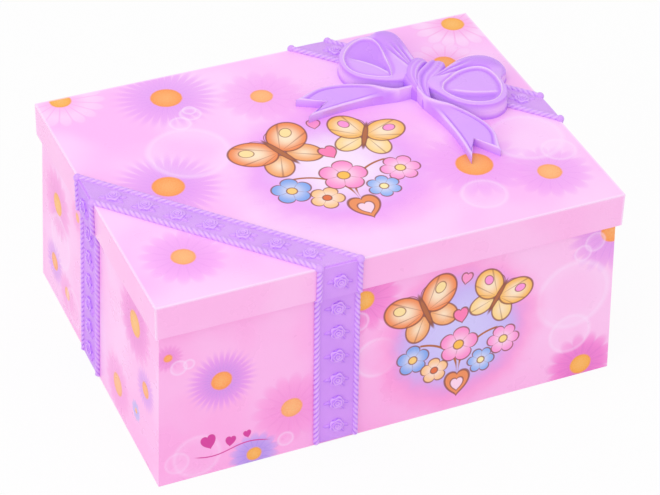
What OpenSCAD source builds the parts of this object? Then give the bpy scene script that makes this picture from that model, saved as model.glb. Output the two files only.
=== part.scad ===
// Musical jewellery box: a pink moulded box with ribbon bands and a bow, a
// ballerina on a turntable, and a comb-and-cylinder movement wound at the back.
// Millimetres. X right, Y back, Z up. Origin: centre of the base's underside.

/* [Box] */
// Width of the lid, left to right
lid_w = 190; // [170:1:220]
// Depth of the lid, front to back
lid_d = 140; // [130:1:170]
// Height of the closed box, without the bow
box_h = 85; // [84:0.5:100]
// Height of the lid's rim
rim_h = 14.5; // [12:0.5:18]
// Thickness of the lid's top
lid_top = 2.2; // [1.6:0.1:3]
// Thickness of the lid's rim
rim_wall = 1.4; // [1.2:0.1:2]
// Gap between the lid's rim and the base wall
rim_gap = 0.4; // [0.3:0.05:0.8]
// Thickness of the base wall at its top edge
base_wall = 2.4; // [1.8:0.1:3.2]
// How far each base wall leans outward from the rim down to the floor
draft = 2.4; // [0:0.1:3.5]
// Thickness of the bottom cover
bottom_t = 2; // [1.6:0.1:3]

/* [Ribbon] */
// Distance from the box corner to the ribbon along the front edge
ribbon_run_x = 63.5; // [50:0.5:75]
// Distance from the box corner to the ribbon along the side edge
ribbon_run_y = 68.3; // [50:0.5:78]
// Width of the ribbon where it meets an edge, rope to rope
ribbon_w = 16.2; // [12:0.2:20]
// Thickness of the ribbon's flat ground
ribbon_t = 0.8; // [0.5:0.1:1.2]
// Radius of the rope along each ribbon edge
rope_r = 1.2; // [0.8:0.1:1.6]
// Radius of a rose on the ribbon
rose_r = 3; // [2.2:0.1:3.6]
// Distance between roses across the lid
rose_pitch = 13.6; // [10:0.1:18]
// Distance between roses down the walls
wall_rose_pitch = 11.2; // [9:0.1:16]

/* [Bow] */
// Place of the knot, left or right of the lid's centre
bow_x = 56; // [50:0.5:60]
// Place of the knot, in front of or behind the lid's centre
bow_y = 28; // [22:0.5:32]
// Length of a loop
loop_l = 36; // [32:1:38]
// Greatest width of a loop
loop_w = 25; // [18:1:32]
// Height of a loop above the lid
loop_h = 7; // [4:0.5:10]
// Length of a tail
tail_l = 55; // [48:1:57]
// Greatest width of a tail
tail_w = 14.5; // [10:0.5:16]

/* [Hinge] */
// Distance of each hinge from the middle of the back
hinge_at = 62; // [50:1:68]
// Radius of the hinge barrel
barrel_r = 2.5; // [2.2:0.1:3.2]
// Radius of the hinge pin
pin_r = 1; // [0.8:0.1:1.2]
// Distance of the hinge pin from the base wall
hinge_out = 3; // [2.9:0.1:4]
// Length of a base knuckle
knuckle_l = 8; // [6:0.5:12]
// Largest opening angle of the lid
open_angle = 100; // [90:1:110]

/* [Interior] */
// Height of the stage above the table
deck_z = 38; // [37.5:0.5:42]
// Thickness of the stage and of the tray walls
tray_t = 1.5; // [1.2:0.1:2.2]
// Width of the ledge that the tray rests on
ledge_w = 3; // [2.5:0.1:4]
// Height of the compartment floor's underside above the table
well_z = 12.5; // [12.5:0.5:20]
// Gap between the tray and the base
tray_gap = 0.3; // [0.2:0.05:0.6]
// Width of the mirror
mirror_w = 118; // [90:1:140]
// Depth of the mirror
mirror_d = 84; // [60:1:92]
// Thickness of the mirror glass
mirror_t = 1.6; // [1.2:0.1:2.4]
// Width of the mirror's frame
frame_w = 5; // [4:0.5:8]
// Radius of a ring roll
roll_r = 6; // [4.5:0.25:7]

/* [Ballerina] */
// Gap between the dancer's hands and the mirror's frame
dancer_gap = 2.4; // [1:0.1:8]
// Radius of the turntable
table_r = 14; // [12.5:0.5:16]
// Thickness of the turntable
table_t = 2.2; // [1.8:0.1:3]
// Radius of the skirt
skirt_r = 12; // [9:0.5:13]
// Radius of the spindle under the turntable
spindle_r = 1.5; // [1.2:0.1:1.8]

/* [Movement] */
// Distance of the spindle from the inside of the back wall
spindle_in = 20.4; // [19.4:0.1:23.4]
// Height of the cylinder's axis above the table
shaft_z = 13; // [13:0.1:13.8]
// Tooth module of all the gears
gear_m = 0.8; // [0.75:0.01:0.82]
// Radius of the pinned cylinder
drum_r = 6.5; // [5.5:0.1:6.7]
// Number of teeth on the comb
comb_n = 18; // [14:1:18]
// Distance between neighbouring comb teeth
comb_pitch = 1; // [0.9:0.02:1.02]
// Radius of the cylinder's arbor
arbor_r = 1; // [0.8:0.05:1.2]
// Radius of the winding arbor
wind_r = 1.8; // [1.5:0.05:2]
// Thickness of the bedplate
bed_t = 2.5; // [2:0.1:3]
// Distance from the cylinder's axis to the bedplate
bed_gap = 10; // [9.8:0.1:11]
// Radius of the air brake's blades
fly_r = 5.2; // [4:0.1:5.3]
// Half the span of the winding key
key_r = 10.5; // [8:0.25:11]
// Radial clearance of a shaft in its bearing
run = 0.05; // [0.02:0.01:0.1]
// How far the stop plunger rises as the lid opens
plunger_rise = 5; // [3:0.5:5]

/* [Hidden] */
$fn = 48;

// Air between two pieces that move past each other
air = 0.3;
// A cut runs this far past the face it opens
eps = 1;

// ---- shell ----
shoulder_z = box_h - rim_h;
overhang = rim_wall + rim_gap;
seat_gap = 0.2;
wall_top = box_h - lid_top - seat_gap;
lean = atan(draft / shoulder_z);
function out_x(z) = lid_w / 2 - overhang + draft * (1 - z / shoulder_z);
function out_y(z) = lid_d / 2 - overhang + draft * (1 - z / shoulder_z);
cave_x = out_x(wall_top) - base_wall;
cave_y = out_y(wall_top) - base_wall;
spindle_y = cave_y - spindle_in;
flange_z = deck_z - tray_t;
ledge_h = 3;
post_r = 3.5;
post_top = well_z - 1;
post_x = out_x(0) - base_wall - post_r + 0.6;
post_y = out_y(0) - base_wall - post_r + 0.6;
screw_r = 1.4;

// ---- hinge ----
hinge_z = shoulder_z - barrel_r - air;
hinge_y = out_y(hinge_z) + hinge_out;
heel_t = 1.6;
heel_l = (hinge_out - 0.1 - heel_t / 2 * sin(open_angle - 90)) / cos(open_angle - 90);
lug_l = 5;
pin_l = knuckle_l + 2 * (lug_l + air);

// ---- movement, seen from the front: X along the cylinder, Y away from the bedplate ----
bed_y = spindle_y + bed_gap;
lead = PI * gear_m;
drive_n = 8;
barrel_n = 24;
spindle_n = 10;
crown_n = 20;
gov_n = 8;
gov_drive_n = 16;
worm_wheel_n = 12;
function pitch_r(n) = gear_m * n / 2;
tooth_tip = 0.7 * gear_m;
tooth_root = 1.05 * gear_m;
gear_w = 2;
crown_root = 1.15 * gear_m;
plate_t = 1.8;
crown_face_x = -pitch_r(spindle_n) - crown_root;
crown_back_x = crown_face_x - plate_t;
bearing_t = 2;
right_bearing_x = crown_back_x - 1.6 - bearing_t / 2;
drum_l = comb_n * comb_pitch;
drum_right = right_bearing_x - bearing_t / 2 - 1.2;
drum_left = drum_right - drum_l;
left_bearing_x = drum_left - 1.4 - bearing_t / 2;
gov_drive_x = left_bearing_x - bearing_t / 2 - 1.4 - gear_w / 2;
drive_x = gov_drive_x - gear_w - 1.4;
barrel_x = drive_x - pitch_r(barrel_n);
barrel_pitch_y = spindle_y + pitch_r(drive_n);
barrel_plate_y = barrel_pitch_y + crown_root;
barrel_cup_r = pitch_r(barrel_n) - gear_w / 2 - 0.9;
barrel_cup_l = 11;
barrel_front_y = barrel_plate_y - barrel_cup_l;
drum_pin_h = 0.5;
comb_gap = 0.15;
comb_t = 1;
comb_tip_z = shaft_z + drum_r + drum_pin_h + comb_gap;
comb_top_z = flange_z - 1.6;
comb_seat_h = 4.6;

// The governor shaft leans back from straight above the cylinder's axis
gov_lean = 24.6;
gov_dist = pitch_r(gov_drive_n) + pitch_r(gov_n);
gov_y = spindle_y + gov_dist * sin(gov_lean);
gov_z = shaft_z + gov_dist * cos(gov_lean);
worm_wheel_t = 1.4;
worm_x = gov_drive_x + gear_w / 2 + 0.3 + worm_wheel_t / 2;
worm_pitch_r = 1.9;
worm_z = gov_z + pitch_r(worm_wheel_n) + worm_pitch_r;
worm_l = 6.4;
fly_l = 5;
fly_y = spindle_y - comb_t / 2 - 1.1 - fly_l;
fly_arbor_r = 0.6;
gov_frame_t = 1.3;

// ---- turntable and dancer ----
bush_r = 3.2;
bush_rise = 0.3;
mirror_top = box_h - lid_top;
mirror_frame_z = mirror_top - mirror_t - 1;
table_z = deck_z + bush_rise + air;
dancer_z = table_z + table_t;
dancer_h = mirror_frame_z - dancer_z - dancer_gap;
bracket_top = shaft_z + pitch_r(crown_n) - gear_w / 2 - 1.2;
bracket_t = 3;

// ---- key and ratchet ----
key_y = out_y(0) + 1;
key_hub_r = 3.4;
key_hub_l = 7;
key_t = 2;
ratchet_n = 12;
ratchet_r = 4.6;
ratchet_t = 1.5;
ratchet_y = bed_y + bed_t + 0.4;

// ---- stop plunger ----
plunger_r = 1;
plunger_x = worm_x - fly_r - air - 2.2;
plunger_y = cave_y - ledge_w - plunger_r - 0.4;
plunger_top = box_h - lid_top - air;
plunger_foot_z = worm_z;
plunger_reach_y = fly_y + fly_l / 2;
collar_r = 2.4;
collar_t = 1;
plunger_foot_r = 0.7;
plunger_bottom = bottom_t + 1;
guide_t = 3;
spring_z = plunger_bottom + plunger_rise + guide_t + 1;
spring_l = 8;
spring_wire = 0.35;
spring_turns = 6;

// ---- tray: the compartments' corners and sizes ----
stage_y = spindle_y - table_r - 7;
well_x = cave_x - ledge_w - tray_gap;
well_y = cave_y - ledge_w - tray_gap;
column_w = (2 * well_x - 4 * tray_t) / 3;
column_d = well_y + stage_y - 2 * tray_t;
row_d = (column_d - tray_t) / 2;
pocket_y = tray_t - well_y;
function column(i) = tray_t - well_x + i * (column_w + tray_t);
pockets = [
    [column(0), pocket_y, column_w, row_d],
    [column(0), pocket_y + row_d + tray_t, column_w, row_d],
    [column(1), pocket_y, column_w, column_d],
    [column(2), pocket_y, column_w, column_d]];

// ---- bedplate and small screws ----
bed_left = barrel_x - 12;
bed_right = 6;
bed_bottom = bottom_t + 1;
bed_top = flange_z - 1.2;
bed_holes = [[bed_left + 3.4, bed_bottom + 3.4], [bed_left + 3.4, bed_top - 3.4],
    [bed_right - 3.4, bed_bottom + 3.4], [bed_right - 3.4, bed_top - 3.4]];
comb_screw_r = 0.9;
comb_screw_x = [drum_left + 0.25 * drum_l, drum_right - 0.25 * drum_l];
barrel_cap_t = 1.2;

// ---- turns that put each wheel in mesh at rest ----
drive_turn = 90;
gov_drive_turn = 180 - gov_lean + 180 / gov_drive_n;
gov_turn = -gov_lean;
worm_wheel_turn = 180;

// ================= helpers =================

// Solid that follows the leaning base walls, moved outward by grow
module leaning_block(grow, z0, z1) {
    x0 = out_x(z0) + grow;
    x1 = out_x(z1) + grow;
    y0 = out_y(z0) + grow;
    y1 = out_y(z1) + grow;
    intersection() {
        rotate([90, 0, 0])
            linear_extrude(height = 2 * lid_d, center = true)
                polygon([[-x0, z0], [x0, z0], [x1, z1], [-x1, z1]]);
        rotate([90, 0, 90])
            linear_extrude(height = 2 * lid_w, center = true)
                polygon([[-y0, z0], [y0, z0], [y1, z1], [-y1, z1]]);
    }
}

// Upright box centred in X and Y
module box(half_x, half_y, z0, z1) {
    translate([-half_x, -half_y, z0])
        cube([2 * half_x, 2 * half_y, z1 - z0]);
}

module rod_x(x0, x1, y, z, r) {
    translate([x0, y, z])
        rotate([0, 90, 0])
            cylinder(h = x1 - x0, r = r);
}

module rod_y(x, y0, y1, z, r) {
    translate([x, y1, z])
        rotate([90, 0, 0])
            cylinder(h = y1 - y0, r = r);
}

module rod_z(x, y, z0, z1, r) {
    translate([x, y, z0])
        cylinder(h = z1 - z0, r = r);
}

// Rod between any two points
module rod(p, q, r) {
    d = q - p;
    flat = norm([d[0], d[1]]);
    translate(p)
        rotate([0, atan2(flat, d[2]), atan2(d[1], d[0])])
            cylinder(h = norm(d), r = r);
}

// Limb that tapers from one ball to another
module limb(p, rp, q, rq) {
    hull() {
        translate(p)
            sphere(r = rp, $fn = 20);
        translate(q)
            sphere(r = rq, $fn = 20);
    }
}

// Outline of a toothed wheel; a gap lies on the +X side
module toothed(n) {
    r = pitch_r(n);
    step = 360 / n;
    corners = [[r - tooth_root, 0.21], [r - tooth_root, 0.34], [r, 0.295], [r + tooth_tip, 0.41],
        [r + tooth_tip, 0.59], [r, 0.705], [r - tooth_root, 0.66], [r - tooth_root, 0.79]];
    polygon([for (i = [0:n - 1]) for (c = corners)
        c[0] * [cos((i + c[1]) * step), sin((i + c[1]) * step)]]);
}

// Straight-toothed wheel about Z with a round bore
module wheel(n, width, bore) {
    difference() {
        linear_extrude(height = width)
            toothed(n);
        translate([0, 0, -eps])
            cylinder(h = width + 2 * eps, r = bore);
    }
}

// Teeth that stand up along +Z in a ring, like a rack bent round; a tooth lies on +X
module crown_teeth(n, root) {
    half_root = 0.28 * lead;
    half_tip = 0.13 * lead;
    for (i = [0:n - 1])
        rotate([0, 0, i * 360 / n])
            translate([pitch_r(n) - gear_w / 2, 0, 0])
                rotate([90, 0, 90])
                    linear_extrude(height = gear_w)
                        polygon([[-half_root, -0.4], [half_root, -0.4], [half_tip, root + tooth_tip],
                            [-half_tip, root + tooth_tip]]);
}

// ================= base =================

module base_knuckles() {
    for (side = [-1, 1])
        translate([side * hinge_at - knuckle_l / 2, 0, 0]) {
            rod_x(0, knuckle_l, hinge_y, hinge_z, barrel_r);
            translate([0, out_y(hinge_z) - base_wall / 2, hinge_z - barrel_r])
                cube([knuckle_l, hinge_out + base_wall / 2, barrel_r]);
        }
}

module base_shell() {
    color("#ffb0e6")
    difference() {
        union() {
            difference() {
                leaning_block(0, 0, wall_top);
                box(cave_x, cave_y, flange_z, wall_top + eps);
                box(cave_x - ledge_w, cave_y - ledge_w, -eps, wall_top);
                leaning_block(-base_wall, -eps, flange_z - ledge_h);
            }
            base_knuckles();
            for (sx = [-1, 1])
                for (sy = [-1, 1])
                    rod_z(sx * post_x, sy * post_y, bottom_t, post_top, post_r);
            for (p = bed_holes)
                rod_y(p[0], bed_y + bed_t, out_y(p[1]) - base_wall / 2, p[1], 3);
            plunger_guide();
        }
        for (sx = [-1, 1])
            for (sy = [-1, 1])
                rod_z(sx * post_x, sy * post_y, -eps, post_top - 1.5, screw_r);
        for (p = bed_holes)
            rod_y(p[0], bed_y + bed_t - eps, bed_y + bed_t + 7, p[1], screw_r);
        rod_x(-lid_w / 2, lid_w / 2, hinge_y, hinge_z, pin_r + run);
        rod_y(barrel_x, bed_y, lid_d, shaft_z, wind_r + 1.2);
        rod_z(plunger_x, plunger_y, -eps, box_h, plunger_r + run);
    }
}

// Shelf on the back wall that guides the foot of the stop plunger
module plunger_guide() {
    half = plunger_r + 1.5;
    translate([plunger_x - half, plunger_y - half, spring_z - guide_t])
        cube([2 * half, out_y(0) - base_wall / 2 - plunger_y + half, guide_t]);
}

module bottom_cover() {
    color("#f59ad8")
    difference() {
        leaning_block(-base_wall - 0.2, 0, bottom_t);
        for (sx = [-1, 1])
            for (sy = [-1, 1])
                rod_z(sx * post_x, sy * post_y, -eps, bottom_t + eps, screw_r + 0.3);
        for (sx = [-1, 1])
            for (sy = [-1, 1])
                rod_z(sx * post_x, sy * post_y, -eps, bottom_t / 2, 2 * screw_r);
    }
}

module cover_screws() {
    color("silver")
    for (sx = [-1, 1])
        for (sy = [-1, 1]) {
            rod_z(sx * post_x, sy * post_y, 0.1, bottom_t / 2, 2 * screw_r - 0.2);
            rod_z(sx * post_x, sy * post_y, 0.1, post_top - 2, screw_r);
        }
}

// ================= ribbons =================

// Rose of three rings of petals round a bud, with two leaves; its flat back is at z = 0
module rose(turn) {
    bud = 0.4 * rose_r;
    rotate_extrude($fn = 24)
        polygon([
            [0, -0.3], [rose_r, -0.3], [rose_r, 0.35], [0.92 * rose_r, 0.6], [0.72 * rose_r, 0.5],
            [0.68 * rose_r, 0.95], [0.58 * rose_r, 1.1], [bud, 0.95], [bud, 1.35],
            [0.25 * rose_r, rose_h], [0, 1.2]
        ]);
    for (side = [0, 180])
        rotate([0, 0, turn + side])
            translate([rose_r + 0.9, 0, -0.3])
                linear_extrude(height = 0.75)
                    polygon([[-1.6, 0], [-0.2, -0.9], [1.7, 0], [-0.2, 0.9]]);
}

rose_h = 1.5;
leaf_turn = -12;
ribbon_x = [ribbon_run_x, ribbon_run_x + ribbon_w];
ribbon_y = [ribbon_run_y, ribbon_run_y + ribbon_w * ribbon_run_y / ribbon_run_x];
function from_left(d) = d - lid_w / 2;
function from_front(d) = d - lid_d / 2;
top_a = [for (i = [0, 1]) [-lid_w / 2, from_front(ribbon_y[i]), box_h]];
top_b = [for (i = [0, 1]) [from_left(ribbon_x[i]), -lid_d / 2, box_h]];
rope_rise = ribbon_t / 2;
mid_front = (from_left(ribbon_x[0]) + from_left(ribbon_x[1])) / 2;
mid_left = (from_front(ribbon_y[0]) + from_front(ribbon_y[1])) / 2;
rim_rose_z = box_h - rim_h / 2;
low_rose_z = rose_r + 5;
roses_down = floor((shoulder_z - rose_r - 1 - low_rose_z) / wall_rose_pitch) + 1;

// Ribbon across the front left corner of the lid, down over both rim faces.
// The roses numbered skip_from to skip_to are left out, where the bow lies.
module lid_corner_ribbon(skip_from, skip_to) {
    up = [0, 0, rope_rise];
    out_front = [0, -rope_rise, 0];
    out_left = [-rope_rise, 0, 0];
    ball_r = 1.35 * rope_r;
    run_dir = (top_b[0] + top_b[1] - top_a[0] - top_a[1]) / 2;
    mid = (top_a[0] + top_a[1] + top_b[0] + top_b[1]) / 4;
    roses_across = floor((norm(run_dir) - 4 * rose_r) / rose_pitch) + 1;
    // How much further back the strip is where it leaves the lid on the left
    beyond = ribbon_run_y * lid_w / 2 / ribbon_run_x;
    difference() {
        union() {
            intersection() {
                box(lid_w / 2 + ribbon_t, lid_d / 2 + ribbon_t, shoulder_z, box_h + ribbon_t);
                union() {
                    translate([0, 0, box_h - eps])
                        linear_extrude(height = 3 * eps)
                            polygon([
                                [-lid_w, from_front(ribbon_y[0]) + beyond], [top_b[0][0], top_b[0][1]],
                                [top_b[0][0], -lid_d], [top_b[1][0], -lid_d],
                                [top_b[1][0], top_b[1][1]], [-lid_w, from_front(ribbon_y[1]) + beyond]
                            ]);
                    translate([from_left(ribbon_x[0]), -lid_d, shoulder_z])
                        cube([ribbon_w, lid_d / 2 + eps, rim_h]);
                    translate([-lid_w, from_front(ribbon_y[0]), shoulder_z])
                        cube([lid_w / 2 + eps, ribbon_y[1] - ribbon_y[0], rim_h]);
                }
            }
            for (i = [0, 1]) {
                rod(top_a[i] + up, top_b[i] + up, rope_r);
                rod_z(top_b[i][0], top_b[i][1] - rope_rise, shoulder_z, box_h, rope_r);
                rod_z(top_a[i][0] - rope_rise, top_a[i][1], shoulder_z, box_h, rope_r);
                translate(top_a[i] + up / 2 + out_left / 2)
                    sphere(r = ball_r);
                translate(top_b[i] + up / 2 + out_front / 2)
                    sphere(r = ball_r);
            }
            for (i = [0:roses_across - 1])
                if (i < skip_from || i > skip_to)
                    translate(mid + run_dir / norm(run_dir) * rose_pitch * (i - (roses_across - 1) / 2)
                        + [0, 0, ribbon_t])
                        rose(leaf_turn);
            translate([mid_front, -lid_d / 2 - ribbon_t, rim_rose_z])
                rotate([90, 0, 0])
                    rose(leaf_turn);
            translate([-lid_w / 2 - ribbon_t, mid_left, rim_rose_z])
                rotate([0, -90, 0])
                    rose(leaf_turn);
        }
        box(lid_w / 2, lid_d / 2, 0, box_h);
    }
}

// Ribbon down the front wall of the base
module base_band(run_from_corner, width, half_wall_x, is_front) {
    x0 = run_from_corner - half_wall_x;
    z1 = shoulder_z - air;
    intersection() {
        box(lid_w, lid_d, 0, z1);
        difference() {
            union() {
                intersection() {
                    leaning_band(ribbon_t, is_front);
                    translate([x0, -lid_w, 0])
                        cube([width, lid_w, z1]);
                }
                for (i = [0, 1])
                    rod([x0 + i * width, wall_at(0, is_front) - rope_rise, 0],
                        [x0 + i * width, wall_at(shoulder_z, is_front) - rope_rise, shoulder_z], rope_r);
                for (i = [0:roses_down - 1])
                    translate([x0 + width / 2, wall_at(rose_z(i), is_front) - ribbon_t, rose_z(i)])
                        rotate([90 - lean, 0, 0])
                            rose(leaf_turn);
            }
            leaning_band(0, is_front);
        }
    }
}

function rose_z(i) = low_rose_z + i * wall_rose_pitch;
function wall_at(z, is_front) = -(is_front ? out_y(z) : out_x(z));

// The front wall's leaning plane as a thick wedge, or the side wall's turned to the front
module leaning_band(grow, is_front) {
    rotate([90, 0, 90])
        linear_extrude(height = 2 * lid_w, center = true)
            polygon([[wall_at(-eps, is_front) - grow, -eps], [0, -eps], [0, box_h],
                [wall_at(box_h, is_front) - grow, box_h]]);
}

module base_ribbon_front() {
    color("#c79bf7")
        base_band(ribbon_x[0], ribbon_w, lid_w / 2, true);
}

module base_ribbon_back() {
    color("#c79bf7")
        rotate([0, 0, 180])
            base_band(ribbon_x[0], ribbon_w, lid_w / 2, true);
}

module base_ribbon_left() {
    color("#c79bf7")
        rotate([0, 0, -90])
            base_band(lid_d - ribbon_y[1], ribbon_y[1] - ribbon_y[0], lid_d / 2, false);
}

module base_ribbon_right() {
    color("#c79bf7")
        rotate([0, 0, 90])
            base_band(lid_d - ribbon_y[1], ribbon_y[1] - ribbon_y[0], lid_d / 2, false);
}

module lid_ribbon_front() {
    color("#c79bf7")
        lid_corner_ribbon(-1, -1);
}

module lid_ribbon_back() {
    color("#c79bf7")
        rotate([0, 0, 180])
            lid_corner_ribbon(1, 5);
}

// ================= lid =================

module lid_knuckles() {
    for (side = [-1, 1])
        for (end = [-1, 1])
            translate([side * hinge_at + end * (knuckle_l / 2 + air + lug_l / 2) - lug_l / 2, 0, 0]) {
                rod_x(0, lug_l, hinge_y, hinge_z, barrel_r);
                translate([0, hinge_y - barrel_r * 0.6, hinge_z])
                    cube([lug_l, barrel_r * 1.4, shoulder_z + 3.5 - hinge_z]);
                translate([0, lid_d / 2 - rim_wall / 2, shoulder_z])
                    cube([lug_l, hinge_y - lid_d / 2 + rim_wall / 2, 3.5]);
                translate([0, hinge_y - heel_t / 2, hinge_z - heel_l])
                    cube([lug_l, heel_t, heel_l]);
            }
}

module lid_shell() {
    color("#ffc8f6")
    difference() {
        union() {
            difference() {
                box(lid_w / 2, lid_d / 2, shoulder_z, box_h);
                box(lid_w / 2 - rim_wall, lid_d / 2 - rim_wall, shoulder_z - eps, box_h - lid_top);
            }
            lid_knuckles();
        }
        rod_x(-lid_w / 2, lid_w / 2, hinge_y, hinge_z, pin_r + run);
    }
}

module hinge_pins() {
    color("silver")
    for (side = [-1, 1])
        rod_x(side * hinge_at - pin_l / 2, side * hinge_at + pin_l / 2, hinge_y, hinge_z, pin_r);
}

module mirror_glass() {
    color("#dfe8ee")
        box(mirror_w / 2, mirror_d / 2, mirror_top - mirror_t, mirror_top);
}

module mirror_frame() {
    color("#c79bf7")
    difference() {
        box(mirror_w / 2 + frame_w - 2, mirror_d / 2 + frame_w - 2, mirror_frame_z, mirror_top);
        box(mirror_w / 2 + 0.1, mirror_d / 2 + 0.1, mirror_top - mirror_t, mirror_top + eps);
        box(mirror_w / 2 - 2, mirror_d / 2 - 2, 0, box_h);
    }
}

// ================= bow =================

// Turns of the front loop, the loop behind it and the tail on each side, in degrees
left_turns = [136, 103, 181];
right_turns = [-53, -8, -88];
right_tail_l = 1.06 * tail_l;
lobe_l = 0.95 * loop_l;
lobe_w = 0.8 * loop_w;
lobe_h = 0.88 * loop_h;
knot_r = 7.4;
knot_h = loop_h + 1;
wrap_w = 10.4;

// Closed solid over a grid: spine point, half width and height are given by the caller
module grid_solid(nu, nv, tops) {
    feet = [for (p = tops) [p[0], p[1], 0]];
    count = (nu + 1) * (nv + 1);
    function at(i, j) = i * (nv + 1) + j;
    polyhedron(
        points = concat(tops, feet),
        faces = concat(
            [for (i = [0:nu - 1]) for (j = [0:nv - 1])
                [at(i, j), at(i, j + 1), at(i + 1, j + 1), at(i + 1, j)]],
            [for (i = [0:nu - 1]) for (j = [0:nv - 1])
                [count + at(i, j), count + at(i + 1, j), count + at(i + 1, j + 1), count + at(i, j + 1)]],
            [for (i = [0:nu - 1])
                [at(i, 0), at(i + 1, 0), count + at(i + 1, 0), count + at(i, 0)]],
            [for (i = [0:nu - 1])
                [at(i + 1, nv), at(i, nv), count + at(i, nv), count + at(i + 1, nv)]],
            [for (j = [0:nv - 1])
                [at(0, j + 1), at(0, j), count + at(0, j), count + at(0, j + 1)]],
            [for (j = [0:nv - 1])
                [at(nu, j), at(nu, j + 1), count + at(nu, j + 1), count + at(nu, j)]]),
        convexity = 6);
}

function smooth(t) = let (k = max(0, min(1, t))) k * k * (3 - 2 * k);
function loop_half(u, w) = w / 2 * (0.3 + 0.7 * sin(90 * min(1, 1.5 * u))) * sqrt(1 - pow(u, 4));
function loop_top(u, v, h) = h * (0.6 + 0.4 * smooth(2.4 * u))
    * (0.8 + 0.2 * v * v) * (1 - 0.2 * pow(v, 10)) * (1 - 0.2 * pow(u, 12));

// Loop along +X: narrow at the knot, round at its end, with a raised lip round a hollow face
module loop(l, w, h) {
    nu = 18;
    nv = 10;
    grid_solid(nu, nv, [for (i = [0:nu]) for (j = [0:nv])
        let (u = 0.995 * i / nu, v = 2 * j / nv - 1)
            [l * u, loop_half(u, w) * v, loop_top(u, v, h)]]);
}

// Edge of a tail on the bow's front side, and the tail's width and height, along its length
function tail_front(u) = 3 + 6 * smooth(u / 0.2) - 2 * sin(180 * max(0, u - 0.3) / 0.7);
function tail_wide(u) = tail_w
    * (0.26 + 0.74 * smooth((u - 0.38) / 0.26) - 0.26 * smooth((u - 0.78) / 0.22));
function tail_notch(u, v) = 0.17 * tail_l * pow(u, 6) * (1 - abs(v));
function tail_top(u, v) = (loop_h - 3.2 * smooth((u - 0.3) / 0.35)) * (1 - 0.15 * pow(v, 10));

// Tail along +X: a folded band at the knot that turns flat, with a swallow-tail end
module tail(l) {
    nu = 18;
    nv = 8;
    grid_solid(nu, nv, [for (i = [0:nu]) for (j = [0:nv])
        let (u = i / nu, v = 2 * j / nv - 1)
            [
                l * u - tail_notch(u, v),
                tail_front(u) - tail_wide(u) * (1 - v) / 2,
                tail_top(u, v)
            ]]);
}

// One band of the knot: a pillow with squared ends
module wrap() {
    nu = 12;
    nv = 8;
    grid_solid(nu, nv, [for (i = [0:nu]) for (j = [0:nv])
        let (u = 2 * i / nu - 1, v = 2 * j / nv - 1)
            [
                knot_r * u,
                wrap_w / 2 * v * (1 - 0.25 * u * u),
                knot_h * sqrt(1.05 - pow(u, 4)) * sqrt(1.06 - pow(v, 6))
            ]]);
}

module bow() {
    color("#c79bf7")
    difference() {
        translate([bow_x, bow_y, box_h])
            bow_form();
        ribbon_channel();
    }
}

// The bow faces the box's front left corner
module bow_form() {
    bow_side(left_turns, tail_l);
    mirror([0, 1, 0])
        bow_side(-right_turns, right_tail_l);
    for (turn = [20, 110])
        rotate([0, 0, turn])
            wrap();
}

module bow_side(turns, length) {
    rotate([0, 0, turns[0]])
        loop(loop_l, loop_w, loop_h);
    rotate([0, 0, turns[1]])
        loop(lobe_l, lobe_w, lobe_h);
    rotate([0, 0, turns[2]])
        tail(length);
}

// Strip over the ribbon's ropes and roses, so that the bow bridges the ribbon
module ribbon_channel() {
    a = (top_a[0] + top_a[1]) / 2;
    b = (top_b[0] + top_b[1]) / 2;
    across = ribbon_w * sin(atan2(ribbon_run_y, ribbon_run_x)) + 2 * rope_r + 0.2;
    rotate([0, 0, 180])
        translate((a + b) / 2)
            rotate([0, 0, atan2(b[1] - a[1], b[0] - a[0])])
                box(lid_w, across / 2, -eps, ribbon_t + rose_h + 0.1);
}

// ================= tray and what lies in it =================

module deck_tray() {
    color("#f7a6df")
    difference() {
        union() {
            box(cave_x - tray_gap, cave_y - tray_gap, flange_z, deck_z);
            translate([-well_x, -well_y, well_z])
                cube([2 * well_x, well_y + stage_y, deck_z - well_z]);
        }
        for (p = pockets)
            translate([p[0], p[1], well_z + tray_t])
                cube([p[2], p[3], box_h]);
        rod_z(0, spindle_y, 0, box_h, bush_r);
        rod_z(plunger_x, plunger_y, 0, box_h, plunger_r + run);
    }
}

module ring_cushion() {
    p = pockets[3];
    floor_z = well_z + tray_t;
    clear = 0.15;
    rolls = floor((p[3] - 2 * clear) / (2 * roll_r));
    pitch = (p[3] - 2 * clear) / rolls;
    slab = 0.9 * roll_r;
    color("#fbe3f4")
    union() {
        translate([p[0] + clear, p[1] + clear, floor_z])
            cube([p[2] - 2 * clear, p[3] - 2 * clear, slab]);
        for (i = [0:rolls - 1])
            rod_x(p[0] + clear, p[0] + p[2] - clear,
                p[1] + clear + (i + 0.5) * pitch, floor_z + slab + 1.5, roll_r);
    }
}

module spindle_bush() {
    color("#d9b45a")
    difference() {
        union() {
            rod_z(0, spindle_y, flange_z, deck_z + bush_rise, bush_r);
            rod_z(0, spindle_y, flange_z - 1, flange_z, bush_r + 1.4);
        }
        rod_z(0, spindle_y, 0, box_h, spindle_r + run);
    }
}

// ================= movement: fixed pieces =================

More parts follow.
